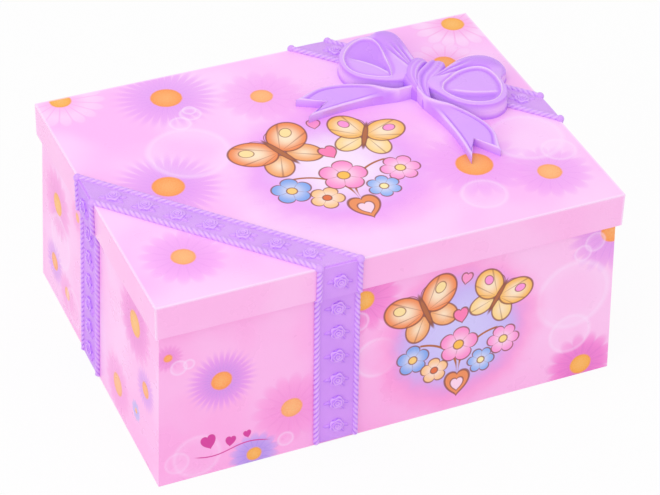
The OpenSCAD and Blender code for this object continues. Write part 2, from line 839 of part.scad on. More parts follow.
module bedplate() {
    color("#b9bdc4")
    difference() {
        union() {
            translate([bed_left, bed_y, bed_bottom])
                cube([bed_right - bed_left, bed_t, bed_top - bed_bottom]);
            translate([drum_left - 0.4, spindle_y + comb_t / 2, comb_top_z - comb_seat_h])
                cube([drum_l + 0.8, bed_gap, comb_seat_h]);
        }
        for (p = bed_holes)
            rod_y(p[0], 0, lid_d, p[1], screw_r + 0.2);
        for (x = comb_screw_x)
            rod_y(x, 0, bed_y - 2, comb_top_z - comb_seat_h / 2, comb_screw_r);
        rod_y(barrel_x, 0, lid_d, shaft_z, wind_r + run);
        translate([plunger_x - plunger_r - 0.8, bed_y - eps, plunger_foot_z - plunger_r - 1])
            cube([2 * plunger_r + 1.6, bed_t + 2 * eps, box_h]);
    }
}

bolt_l = 2.4 * bed_t;
module movement_screws() {
    color("silver")
    for (p = bed_holes) {
        rod_y(p[0], bed_y - 1.5, bed_y, p[1], 2.5);
        rod_y(p[0], bed_y - 1.5, bed_y + bed_t + bolt_l, p[1], screw_r);
    }
}

// Steel comb; the slots grow longer towards the low notes on the left
module music_comb() {
    y0 = spindle_y - comb_t / 2;
    slot_w = 0.22;
    color("#c9ced6")
    difference() {
        translate([drum_left - 0.4, y0, comb_tip_z])
            cube([drum_l + 0.8, comb_t, comb_top_z - comb_tip_z]);
        for (i = [1:comb_n - 1])
            translate([drum_left + i * comb_pitch - slot_w / 2, y0 - eps, comb_tip_z - eps])
                cube([slot_w, comb_t + 2 * eps,
                    eps + (comb_top_z - comb_seat_h - comb_tip_z) * (1 - 0.38 * i / comb_n)]);
        for (x = comb_screw_x)
            rod_y(x, 0, lid_d, comb_top_z - comb_seat_h / 2, comb_screw_r + 0.1);
    }
}

module comb_screws() {
    z = comb_top_z - comb_seat_h / 2;
    y0 = spindle_y - comb_t / 2;
    color("silver")
    for (x = comb_screw_x) {
        rod_y(x, y0 - 1.1, y0, z, 1.7);
        rod_y(x, y0 - 1.1, y0 + 6, z, comb_screw_r);
    }
}

// Two brass arms that carry the cylinder's arbor
module cylinder_bearings() {
    half = 2.8;
    color("#d9b45a")
    for (x = [left_bearing_x, right_bearing_x])
        difference() {
            union() {
                rod_x(x - bearing_t / 2, x + bearing_t / 2, spindle_y, shaft_z, half);
                translate([x - bearing_t / 2, spindle_y, shaft_z - half])
                    cube([bearing_t, bed_gap, 2 * half]);
                translate([x - bearing_t / 2, bed_y - 1.6, bed_bottom])
                    cube([bearing_t, 1.6, shaft_z - bed_bottom]);
            }
            rod_x(x - bearing_t, x + bearing_t, spindle_y, shaft_z, arbor_r + run);
        }
}

// Arm that carries the foot of the ballerina's spindle
module spindle_bracket() {
    half = 3;
    x0 = crown_face_x + crown_root + tooth_tip + 0.6;
    color("#d9b45a")
    difference() {
        translate([x0, spindle_y - half, bracket_top - bracket_t])
            cube([half - x0 + 1, bed_gap + half, bracket_t]);
        rod_z(0, spindle_y, bracket_top - bracket_t + 0.8, box_h, spindle_r + run);
    }
}

// Frame with two cheeks for the governor shaft and two bearings for the worm and fly
module governor_frame() {
    left_x = gov_drive_x - gear_w / 2 - 0.4 - gov_frame_t;
    right_x = worm_x + worm_wheel_t / 2 + 0.4;
    half = 2.5;
    arm_z = worm_z + fly_r + 0.4;
    front_y = fly_y - 0.4 - gov_frame_t;
    arm_half = 1.8;
    foot_t = 2;
    color("#d9b45a")
    difference() {
        union() {
            for (x = [left_x, right_x]) {
                translate([x, gov_y - half, gov_z - half])
                    cube([gov_frame_t, bed_y - gov_y + half, 2 * half]);
                translate([x, bed_y - foot_t, gov_z])
                    cube([gov_frame_t, foot_t, worm_z - gov_z]);
            }
            translate([left_x, bed_y - foot_t, worm_z - half])
                cube([right_x + gov_frame_t - left_x, foot_t, arm_z + gov_frame_t - worm_z + half]);
            translate([worm_x - arm_half, front_y, arm_z])
                cube([2 * arm_half, bed_y - front_y, gov_frame_t]);
            translate([worm_x - arm_half, front_y, worm_z - arm_half])
                cube([2 * arm_half, gov_frame_t, arm_z + gov_frame_t - worm_z + arm_half]);
        }
        rod_x(left_x - eps, right_x + gov_frame_t + eps, gov_y, gov_z, arbor_r + run);
        rod_y(worm_x, front_y - eps, bed_y - 0.4, worm_z, fly_arbor_r + run);
    }
}

// Sprung click that lets the ratchet wheel turn one way
module ratchet_click() {
    tip_r = ratchet_r + air;
    color("#b9bdc4")
    union() {
        translate([barrel_x, ratchet_y, shaft_z])
            rotate([90, 0, 180])
                linear_extrude(height = ratchet_t)
                    polygon([[tip_r, 0.4], [tip_r + 1.1, -0.4], [tip_r + 2.4, 4.5], [tip_r + 2.4, 9.5],
                        [tip_r + 0.2, 9.5], [tip_r + 0.6, 4.5]]);
        rod_y(barrel_x - tip_r - 1.3, bed_y + bed_t, ratchet_y + ratchet_t, shaft_z + 8.4, 1.1);
    }
}

// ================= movement: winding side =================

module winding_key() {
    lobe_r = 4;
    wing_y = key_y + key_hub_l + lobe_r - 1.4;
    color("#d6d9de")
    difference() {
        union() {
            rod_y(barrel_x, key_y, key_y + key_hub_l, shaft_z, key_hub_r);
            translate([barrel_x, 0, shaft_z - key_t / 2])
                linear_extrude(height = key_t)
                    difference() {
                        union() {
                            for (side = [-1, 1])
                                translate([side * (key_r - lobe_r), wing_y])
                                    circle(r = lobe_r);
                            polygon([[-key_r + lobe_r, wing_y + lobe_r - 1.2], [0, wing_y + 1.4],
                                [key_r - lobe_r, wing_y + lobe_r - 1.2], [key_hub_r - 1, key_y + 1],
                                [1 - key_hub_r, key_y + 1]]);
                        }
                        for (side = [-1, 1])
                            translate([side * (key_r - lobe_r), wing_y])
                                circle(r = 1.7);
                    }
        }
        rod_y(barrel_x, 0, key_y + key_hub_l - 1.5, shaft_z, wind_r);
    }
}

module winding_arbor() {
    color("#b9bdc4")
        rod_y(barrel_x, barrel_front_y - barrel_cap_t - 0.6, key_y + key_hub_l - 1.5, shaft_z, wind_r);
}

module ratchet_wheel() {
    step = 360 / ratchet_n;
    color("#d9b45a")
    difference() {
        translate([barrel_x, ratchet_y + ratchet_t, shaft_z])
            rotate([90, 0, 0])
                linear_extrude(height = ratchet_t)
                    polygon([for (i = [0:ratchet_n - 1]) for (k = [0, 1])
                        let (r = ratchet_r - 1.1 * k, a = (i + 0.92 * k) * step)
                            [r * cos(a), r * sin(a)]]);
        rod_y(barrel_x, 0, lid_d, shaft_z, wind_r);
    }
}

// Great wheel with crown teeth, and the cup that holds the spring
module spring_barrel() {
    rim_r = pitch_r(barrel_n) + gear_w / 2 + 0.3;
    wall = 0.8;
    color("#d9b45a")
    difference() {
        union() {
            rod_y(barrel_x, barrel_plate_y, barrel_plate_y + plate_t, shaft_z, rim_r);
            rod_y(barrel_x, barrel_plate_y, bed_y - air, shaft_z, wind_r + 1.5);
            translate([barrel_x, barrel_plate_y, shaft_z])
                rotate([90, 0, 0])
                    crown_teeth(barrel_n, crown_root);
            rod_y(barrel_x, barrel_front_y, barrel_plate_y, shaft_z, barrel_cup_r);
        }
        rod_y(barrel_x, barrel_front_y - eps, barrel_plate_y, shaft_z, barrel_cup_r - wall);
        rod_y(barrel_x, 0, lid_d, shaft_z, wind_r + run);
    }
}

module barrel_cap() {
    color("#d9b45a")
    difference() {
        rod_y(barrel_x, barrel_front_y - barrel_cap_t, barrel_front_y, shaft_z, barrel_cup_r);
        rod_y(barrel_x, 0, lid_d, shaft_z, wind_r + run);
    }
}

// Flat spiral spring inside the barrel
module mainspring() {
    turns = 4;
    steps = 24 * turns;
    inner = wind_r + 0.5;
    outer = barrel_cup_r - 1.3;
    strip = 0.35;
    spiral_r = [for (i = [0:steps]) inner + (outer - inner) * i / steps];
    color("#8f959e")
    translate([barrel_x, barrel_plate_y - 0.4, shaft_z])
        rotate([90, 0, 0])
            linear_extrude(height = barrel_cup_l - 0.8)
                polygon(concat(
                    [for (i = [0:steps]) (spiral_r[i] + strip) * [cos(15 * i), sin(15 * i)]],
                    [for (i = [steps:-1:0]) spiral_r[i] * [cos(15 * i), sin(15 * i)]]));
}

// ================= movement: cylinder =================

// Drum with rows of small pins, three to each comb tooth at the places of a made-up tune
module pinned_cylinder() {
    pin_w = 0.3;
    color("#d9b45a")
    difference() {
        union() {
            rod_x(drum_left, drum_right, spindle_y, shaft_z, drum_r);
            for (i = [0:comb_n - 1])
                for (k = [0:2])
                    translate([drum_left + (i + 0.5) * comb_pitch, spindle_y, shaft_z])
                        rotate([(i * 77 + k * (113 + 7 * (i % 3))) % 360, 0, 0])
                            cylinder(h = drum_r + drum_pin_h, r = pin_w, $fn = 6);
        }
        rod_x(-lid_w, lid_w, spindle_y, shaft_z, arbor_r);
    }
}

module cylinder_arbor() {
    color("#b9bdc4")
        rod_x(drive_x - gear_w / 2 - 0.4, crown_face_x + 0.4, spindle_y, shaft_z, arbor_r);
}

// Puts a wheel that was drawn about Z onto the X axis, turned by an angle
module on_x(x, y, z, turn) {
    translate([x, y, z])
        rotate([turn, 0, 0])
            rotate([0, 90, 0])
                children();
}

module drive_pinion() {
    color("#d9b45a")
        on_x(drive_x - gear_w / 2, spindle_y, shaft_z, drive_turn)
            wheel(drive_n, gear_w, arbor_r);
}

module governor_drive_wheel() {
    color("#d9b45a")
        on_x(gov_drive_x - gear_w / 2, spindle_y, shaft_z, gov_drive_turn)
            wheel(gov_drive_n, gear_w, arbor_r);
}

module dancer_crown_wheel() {
    color("#d9b45a")
    difference() {
        union() {
            rod_x(crown_back_x, crown_face_x, spindle_y, shaft_z, pitch_r(crown_n) + gear_w / 2);
            on_x(crown_face_x, spindle_y, shaft_z, 0)
                crown_teeth(crown_n, crown_root);
        }
        rod_x(-lid_w, lid_w, spindle_y, shaft_z, arbor_r);
    }
}

// ================= movement: governor =================

module governor_shaft() {
    left_x = gov_drive_x - gear_w / 2 - 0.4 - gov_frame_t;
    right_x = worm_x + worm_wheel_t / 2 + 0.4 + gov_frame_t;
    color("#b9bdc4")
        rod_x(left_x, right_x, gov_y, gov_z, arbor_r);
}

module governor_pinion() {
    color("#d9b45a")
        on_x(gov_drive_x - gear_w / 2, gov_y, gov_z, gov_turn)
            wheel(gov_n, gear_w, arbor_r);
}

module worm_wheel() {
    color("#d9b45a")
        on_x(worm_x - worm_wheel_t / 2, gov_y, gov_z, worm_wheel_turn)
            wheel(worm_wheel_n, worm_wheel_t, arbor_r);
}

// Single-start worm: a cam outline twisted once for each tooth of advance
module worm() {
    root = worm_pitch_r - 0.75 * gear_m;
    tip = worm_pitch_r + 0.6 * gear_m;
    start = 90 - 360 * (worm_l / 2) / lead;
    color("#d9b45a")
    difference() {
        translate([worm_x, gov_y - worm_l / 2, worm_z])
            rotate([-90, 0, 0])
                rotate([0, 0, start])
                    linear_extrude(height = worm_l, twist = -360 * worm_l / lead, slices = 40)
                        polygon([for (a = [0:20:340]) worm_radius(a, root, tip) * [cos(a), sin(a)]]);
        rod_y(worm_x, 0, lid_d, worm_z, fly_arbor_r);
    }
}

// Radius of the worm's cam outline: a thread 90 degrees wide at its root
function worm_radius(a, root, tip) =
    let (away = min(a, 360 - a))
    away <= 30 ? tip : (away <= 60 ? root + (tip - root) * (60 - away) / 30 : root);

// Two thin blades on the worm's arbor, turned upright at rest
module fly() {
    blade_t = 0.6;
    color("#c9ced6")
    union() {
        rod_y(worm_x, fly_y - 0.4 - gov_frame_t, bed_y - 0.6, worm_z, fly_arbor_r);
        rod_y(worm_x, fly_y, fly_y + fly_l, worm_z, 1.1);
        translate([worm_x - blade_t / 2, fly_y, worm_z - sqrt(fly_r * fly_r - 0.09)])
            cube([blade_t, fly_l, 2 * sqrt(fly_r * fly_r - 0.09)]);
    }
}

// ================= turntable and dancer =================

module spindle() {
    color("#b9bdc4")
        rod_z(0, spindle_y, bracket_top - bracket_t + 0.8, table_z + table_t - 0.8, spindle_r);
}

module spindle_pinion() {
    color("#d9b45a")
    translate([0, spindle_y, shaft_z + pitch_r(crown_n) - gear_w / 2])
        rotate([0, 0, 180])
            wheel(spindle_n, gear_w, spindle_r);
}

module turntable() {
    color("#e9d6fb")
    difference() {
        union() {
            rod_z(0, spindle_y, table_z, table_z + table_t / 2, table_r);
            rod_z(0, spindle_y, table_z + table_t / 2, table_z + table_t, table_r - 1.5);
        }
        rod_z(0, spindle_y, 0, table_z + table_t - 0.8, spindle_r);
    }
}

module ballerina() {
    h = dancer_h;
    color("#ffd9c7")
    translate([0, spindle_y, dancer_z]) {
        cylinder(h = 0.014 * h, r = 0.043 * h, $fn = 24);
        scale(h) {
            limb([0, 0, 0.024], 0.022, [0.003, -0.008, 0.26], 0.031);
            limb([0.003, -0.008, 0.26], 0.031, [0.019, 0, 0.49], 0.046);
            limb([-0.019, 0, 0.49], 0.043, [-0.114, -0.054, 0.38], 0.03);
            limb([-0.114, -0.054, 0.38], 0.03, [-0.019, -0.032, 0.25], 0.02);
            limb([0, 0, 0.5], 0.057, [0, 0, 0.6], 0.043);
            limb([0, 0, 0.6], 0.043, [0, 0, 0.69], 0.057);
            limb([0, 0, 0.7], 0.024, [0, -0.005, 0.8], 0.024);
            for (side = [-1, 1]) {
                limb([side * 0.049, 0, 0.71], 0.022, [side * 0.124, -0.027, 0.83], 0.018);
                limb([side * 0.124, -0.027, 0.83], 0.018, [side * 0.027, -0.038, 0.985], 0.014);
            }
            translate([0, -0.005, 0.835])
                sphere(r = 0.068, $fn = 24);
            translate([0, 0.014, 0.91])
                sphere(r = 0.035, $fn = 20);
        }
    }
}

// Stiff net skirt: a shallow dish with a thin edge
module tutu() {
    skirt_in = 0.065 * dancer_h;
    color("#f3d4ff")
    translate([0, spindle_y, dancer_z + 0.545 * dancer_h])
        rotate_extrude()
            polygon([
                [skirt_in, 0.8], [0.5 * skirt_r, 0.9], [skirt_r, -0.4],
                [skirt_r, -1], [0.5 * skirt_r, -1.2], [skirt_in, -1.4]
            ]);
}

// ================= lid-operated stop =================

module stop_plunger() {
    color("#c9ced6")
    union() {
        rod_z(plunger_x, plunger_y, plunger_bottom, plunger_top, plunger_r);
        rod_z(plunger_x, plunger_y, spring_z + spring_l, spring_z + spring_l + collar_t, collar_r);
        rod_y(plunger_x, plunger_reach_y, plunger_y, plunger_foot_z, plunger_foot_r);
        rod_x(plunger_x, worm_x - fly_r - air, plunger_reach_y, plunger_foot_z, plunger_foot_r);
    }
}

// Coil of round wire between the guide shelf and the plunger's collar
module plunger_spring() {
    sides = 6;
    per_turn = 12;
    rings = per_turn * spring_turns;
    coil_r = plunger_r + spring_wire + 0.25;
    color("#9aa0a8")
    translate([plunger_x, plunger_y, spring_z + spring_wire])
        polyhedron(
            points = [for (i = [0:rings]) for (k = [0:sides - 1])
                let (a = 360 * i / per_turn, b = 360 * k / sides, r = coil_r + spring_wire * cos(b))
                    [
                        r * cos(a), r * sin(a),
                        (spring_l - 2 * spring_wire) * i / rings + spring_wire * sin(b)
                    ]],
            faces = concat(
                [for (i = [0:rings - 1]) for (k = [0:sides - 1])
                    let (n = (k + 1) % sides)
                        [i * sides + k, i * sides + n, (i + 1) * sides + n, (i + 1) * sides + k]],
                [[for (k = [sides - 1:-1:0]) k]],
                [[for (k = [0:sides - 1]) rings * sides + k]]));
}

// ================= pieces =================
base_shell();
bottom_cover();
cover_screws();
base_ribbon_front();
base_ribbon_left();
base_ribbon_back();
base_ribbon_right();
deck_tray();
ring_cushion();
spindle_bush();
hinge_pins();
bedplate();
movement_screws();
music_comb();
comb_screws();
cylinder_bearings();
spindle_bracket();
governor_frame();
ratchet_click();
lid_shell();
lid_ribbon_front();
lid_ribbon_back();
bow();
mirror_glass();
mirror_frame();
winding_key();
winding_arbor();
ratchet_wheel();
spring_barrel();
barrel_cap();
mainspring();
pinned_cylinder();
cylinder_arbor();
drive_pinion();
governor_drive_wheel();
dancer_crown_wheel();
governor_shaft();
governor_pinion();
worm_wheel();
worm();
fly();
spindle();
spindle_pinion();
turntable();
ballerina();
tutu();
stop_plunger();
plunger_spring();
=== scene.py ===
"""Musical jewellery box: ribbon bands, a bow, a mirror, a tray and a turning dancer."""
import logging
import math
from dataclasses import dataclass, field, replace
from enum import Enum
from typing import Callable, Iterable, Sequence

import bpy
import bmesh
import numpy as np
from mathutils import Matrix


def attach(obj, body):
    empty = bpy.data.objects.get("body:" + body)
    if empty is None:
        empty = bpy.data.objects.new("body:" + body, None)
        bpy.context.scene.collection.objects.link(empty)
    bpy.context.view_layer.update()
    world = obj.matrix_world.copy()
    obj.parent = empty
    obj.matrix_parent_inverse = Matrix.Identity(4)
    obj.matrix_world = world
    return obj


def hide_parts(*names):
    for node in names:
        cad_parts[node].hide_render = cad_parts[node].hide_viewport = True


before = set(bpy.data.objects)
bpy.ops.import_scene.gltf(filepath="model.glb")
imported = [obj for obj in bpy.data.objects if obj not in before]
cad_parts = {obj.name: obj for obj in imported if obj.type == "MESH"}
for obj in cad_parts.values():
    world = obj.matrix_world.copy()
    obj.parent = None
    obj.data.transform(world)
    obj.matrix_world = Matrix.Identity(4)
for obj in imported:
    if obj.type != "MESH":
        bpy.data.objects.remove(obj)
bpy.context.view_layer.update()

LOG = logging.getLogger("jewellery_box")
MM = 0.001
TAU = 2 * math.pi
Vec = Sequence[float]

# Sizes in millimetres that several pieces share; the origin is the middle of the base's underside.
HALF_W, HALF_D = 95.0, 70.0
TOP = 85.0
SHOULDER = 70.5
TURN_Y = 44.9881


# ---------------------------------------------------------------- colours

def linear(code: str) -> tuple[float, float, float, float]:
    """Turn a six-digit screen colour into linear light.

    Args:
        code: The colour as RRGGBB.

    Returns:
        Red, green, blue and alpha.
    """
    parts = [int(code[i:i + 2], 16) / 255 for i in (0, 2, 4)]
    light = [c / 12.92 if c <= 0.04045 else ((c + 0.055) / 1.055) ** 2.4 for c in parts]
    return (light[0], light[1], light[2], 1.0)


def unit(vector: Vec) -> np.ndarray:
    """A direction, one long."""
    return np.asarray(vector, float) / np.linalg.norm(vector)


# ---------------------------------------------------------------- shader maths

class Socket:
    """A node's output that takes part in arithmetic: each operator adds a Math node."""

    def __init__(self, tree: "NodeTree", output: bpy.types.NodeSocket) -> None:
        """Keep the tree and the output."""
        self.tree = tree
        self.output = output

    def maths(self, operation: str, *others: object) -> "Socket":
        """Add a Math node that starts from this value."""
        values = {i + 1: other for i, other in enumerate(others)}
        return self.tree.node("ShaderNodeMath", {"operation": operation}, {0: self, **values})

    def __add__(self, other: object) -> "Socket":
        """Sum."""
        return self.maths("ADD", other)

    __radd__ = __add__

    def __mul__(self, other: object) -> "Socket":
        """Product."""
        return self.maths("MULTIPLY", other)

    __rmul__ = __mul__

    def __sub__(self, other: object) -> "Socket":
        """Difference."""
        return self.maths("SUBTRACT", other)

    def __rsub__(self, other: object) -> "Socket":
        """Difference with this value taken away."""
        return self.tree.node("ShaderNodeMath", {"operation": "SUBTRACT"}, {0: other, 1: self})

    def __truediv__(self, other: object) -> "Socket":
        """Quotient."""
        return self.maths("DIVIDE", other)

    def __abs__(self) -> "Socket":
        """Value without its sign."""
        return self.maths("ABSOLUTE")

    def __pow__(self, other: object) -> "Socket":
        """Power."""
        return self.maths("POWER", other)

    def sin(self) -> "Socket":
        """Sine of an angle in radians."""
        return self.maths("SINE")

    def least(self, other: object) -> "Socket":
        """The smaller of two values."""
        return self.maths("MINIMUM", other)

    def most(self, other: object) -> "Socket":
        """The larger of two values."""
        return self.maths("MAXIMUM", other)

    def step(self, start: float, end: float, low: float = 0.0, high: float = 1.0) -> "Socket":
        """Smooth step from low, at start, to high, at end.

        Args:
            start: The value where the step starts.
            end: The value where it ends.
            low: The result before the step.
            high: The result after it.

        Returns:
            The stepped value.
        """
        if start < end:
            limits = {1: start, 2: end, 3: low, 4: high}
        else:
            limits = {1: end, 2: start, 3: high, 4: low}
        return self.tree.node(
            "ShaderNodeMapRange", {"interpolation_type": "SMOOTHSTEP", "clamp": False},
            {0: self, **limits})


Pair = tuple[Socket, Socket]


class NodeTree:
    """A material's nodes."""

    def __init__(self, name: str) -> None:
        """Start an empty material.

        Args:
            name: The material's name.
        """
        self.material = bpy.data.materials.new(name)
        self.material.use_nodes = True
        self.material.node_tree.nodes.clear()

    def node(self, kind: str, settings: dict | None = None, inputs: dict | None = None,
             output: int | str = 0) -> Socket:
        """Add a node.

        Args:
            kind: The node's type.
            settings: Properties that are set first, such as an operation.
            inputs: Values or links of its sockets, by number or name.
            output: The output that is returned.

        Returns:
            That output.
        """
        made = self.material.node_tree.nodes.new(kind)
        for key, value in (settings or {}).items():
            setattr(made, key, value)
        for key, value in (inputs or {}).items():
            if isinstance(value, Socket):
                self.material.node_tree.links.new(value.output, made.inputs[key])
            else:
                made.inputs[key].default_value = value
        return Socket(self, made.outputs[output] if made.outputs else None)

    def mix(self, factor: object, first: object, second: object) -> Socket:
        """Mix two colours.

        Args:
            factor: The second colour's share.
            first: The first colour.
            second: The second colour.

        Returns:
            The mixed colour.
        """
        return self.node("ShaderNodeMix", {"data_type": "RGBA"},
                         {0: factor, 6: first, 7: second}, 2)

    def scaled(self, vector: Socket, factors: Vec) -> Socket:
        """A vector whose parts are multiplied by three factors."""
        return self.node("ShaderNodeVectorMath", {"operation": "MULTIPLY"}, {0: vector, 1: factors})

    def placed(self) -> Socket:
        """Object coordinates in millimetres."""
        return self.scaled(self.node("ShaderNodeTexCoord", output="Object"), (1 / MM,) * 3)

    def split(self, vector: Socket) -> tuple[Socket, Socket, Socket]:
        """The three parts of a vector."""
        parts = self.node("ShaderNodeSeparateXYZ", {}, {0: vector}).output.node.outputs
        return Socket(self, parts[0]), Socket(self, parts[1]), Socket(self, parts[2])

    def shade(self) -> Socket:
        """The shade that a piece's points carry."""
        return self.node("ShaderNodeAttribute", {"attribute_name": "shade"}, output="Fac")

    def noise(self, scale: float, detail: float = 2.0, where: Socket | None = None,
              roughness: float = 0.5) -> Socket:
        """Noise over the object.

        Args:
            scale: Cells to a millimetre.
            detail: Octaves.
            where: Coordinates in millimetres.
            roughness: Share of the finer octaves.

        Returns:
            A value round one half.
        """
        return self.node("ShaderNodeTexNoise", {}, {
            "Vector": where or self.placed(), "Scale": scale, "Detail": detail,
            "Roughness": roughness})

    def finish(self, shader: Socket) -> bpy.types.Material:
        """Link a shader to the material's output.

        Args:
            shader: The surface shader.

        Returns:
            The material.
        """
        self.node("ShaderNodeOutputMaterial", {}, {"Surface": shader})
        return self.material


# ---------------------------------------------------------------- finishes

@dataclass(frozen=True)
class Plastic:
    """Moulded plastic with a fine grain, softened edges and a slight change of tone.

    Shade, where a piece has it, is painted shade that darkens the deep places, and below nought it
    is a painted highlight that lightens the crests.
    """

    name: str
    colour: str
    # The deep colour serves for the slight change of tone and, with shade, for painted shade.
    deep: str
    roughness: float = 0.34
    grain: float = 0.02
    grain_scale: float = 2.2
    edge: float = 0.35
    subsurface: float = 0.0
    sheen: float = 0.0
    # The colour of the painted highlight on crests.
    crest_highlight: str = ""

    def made(self) -> bpy.types.Material:
        """Build the material."""
        tree = NodeTree(self.name)
        tone = tree.noise(0.035, 3).step(0.3, 0.7)
        colour = tree.mix(tone * 0.25, linear(self.colour), linear(self.deep))
        if self.crest_highlight:
            # Painted shade towards the deep colour where shade is above nought, and a painted
            # highlight towards the crest colour below it.
            shade = tree.shade()
            colour = tree.mix(shade, colour, linear(self.deep))
            colour = tree.mix(shade * -1, colour, linear(self.crest_highlight))
        return tree.finish(self.surface(tree, colour))

    def surface(self, tree: NodeTree, colour: Socket) -> Socket:
        """Lay the plastic's gloss and grain over a colour.

        Args:
            tree: The material's nodes.
            colour: The colour over the surface.

        Returns:
            The shader.
        """
        smear = tree.noise(0.06, 4).step(0.25, 0.75, self.roughness - 0.05, self.roughness + 0.07)
        relief = {}
        if self.grain:
            inputs = {"Strength": 0.6, "Distance": self.grain * MM,
                      "Height": tree.noise(self.grain_scale, 3)}
            if self.edge:
                inputs["Normal"] = tree.node("ShaderNodeBevel", {"samples": 4},
                                             {"Radius": self.edge * MM})
            relief["Normal"] = tree.node("ShaderNodeBump", {}, inputs)
        return tree.node("ShaderNodeBsdfPrincipled", {}, {
            **relief, "Base Color": colour, "Roughness": smear, "IOR": 1.47,
            "Subsurface Weight": self.subsurface, "Subsurface Scale": 1.5 * MM,
            "Sheen Weight": self.sheen, "Sheen Roughness": 0.4})


@dataclass(frozen=True)
class Metal:
    """Plain metal with fine marks of its working."""

    name: str
    colour: str
    roughness: float = 0.28
    marks: float = 3.0

    def made(self) -> bpy.types.Material:
        """Build the material."""
        tree = NodeTree(self.name)
        stretched = tree.scaled(tree.placed(), (self.marks, self.marks, self.marks / 12))
        marks = tree.noise(1.0, 3, stretched)
        tone = tree.noise(0.15, 2).step(0.3, 0.7)
        dark = tuple(0.72 * c for c in linear(self.colour)[:3]) + (1.0,)
        colour = tree.mix(tone * 0.4, linear(self.colour), dark)
        bump = tree.node("ShaderNodeBump", {}, {
            "Strength": 0.35, "Distance": 0.02 * MM, "Height": marks})
        return tree.finish(tree.node("ShaderNodeBsdfPrincipled", {}, {
            "Base Color": colour, "Metallic": 1.0, "Normal": bump,
            "Roughness": marks.step(0.3, 0.7, self.roughness - 0.06, self.roughness + 0.1)}))


@dataclass(frozen=True)
class Petals:
    """How petals are drawn: the curve and depth of their tips, their softness and streaks."""

    curve: float
    depth: float
    soft: float
    brim: float
    streak: float


BLUNT = Petals(curve=0.7, depth=0.22, soft=0.2, brim=0.45, streak=0.22)
POINTED = Petals(curve=0.45, depth=0.42, soft=0.32, brim=0.1, streak=0.4)


@dataclass(frozen=True)
class Daisy:
    """A printed daisy: its place, its heart's radius, its petals' reach and its colours."""

    x: float
    y: float
    heart: float
    reach: float
    heart_colour: str
    petal: str
    gap: str
    petals: int
    strength: float
    form: Petals = BLUNT


@dataclass(frozen=True)
class Bubble:
    """A printed soap bubble."""

    x: float
    y: float
    radius: float
    strength: float = 0.55


@dataclass(frozen=True)
class Posy:
    """A printed vignette: a soft halo with two butterflies, blossoms, hearts and stems."""

    x: float
    y: float
    size: float
    halo: str
    rim: str
    centre: str


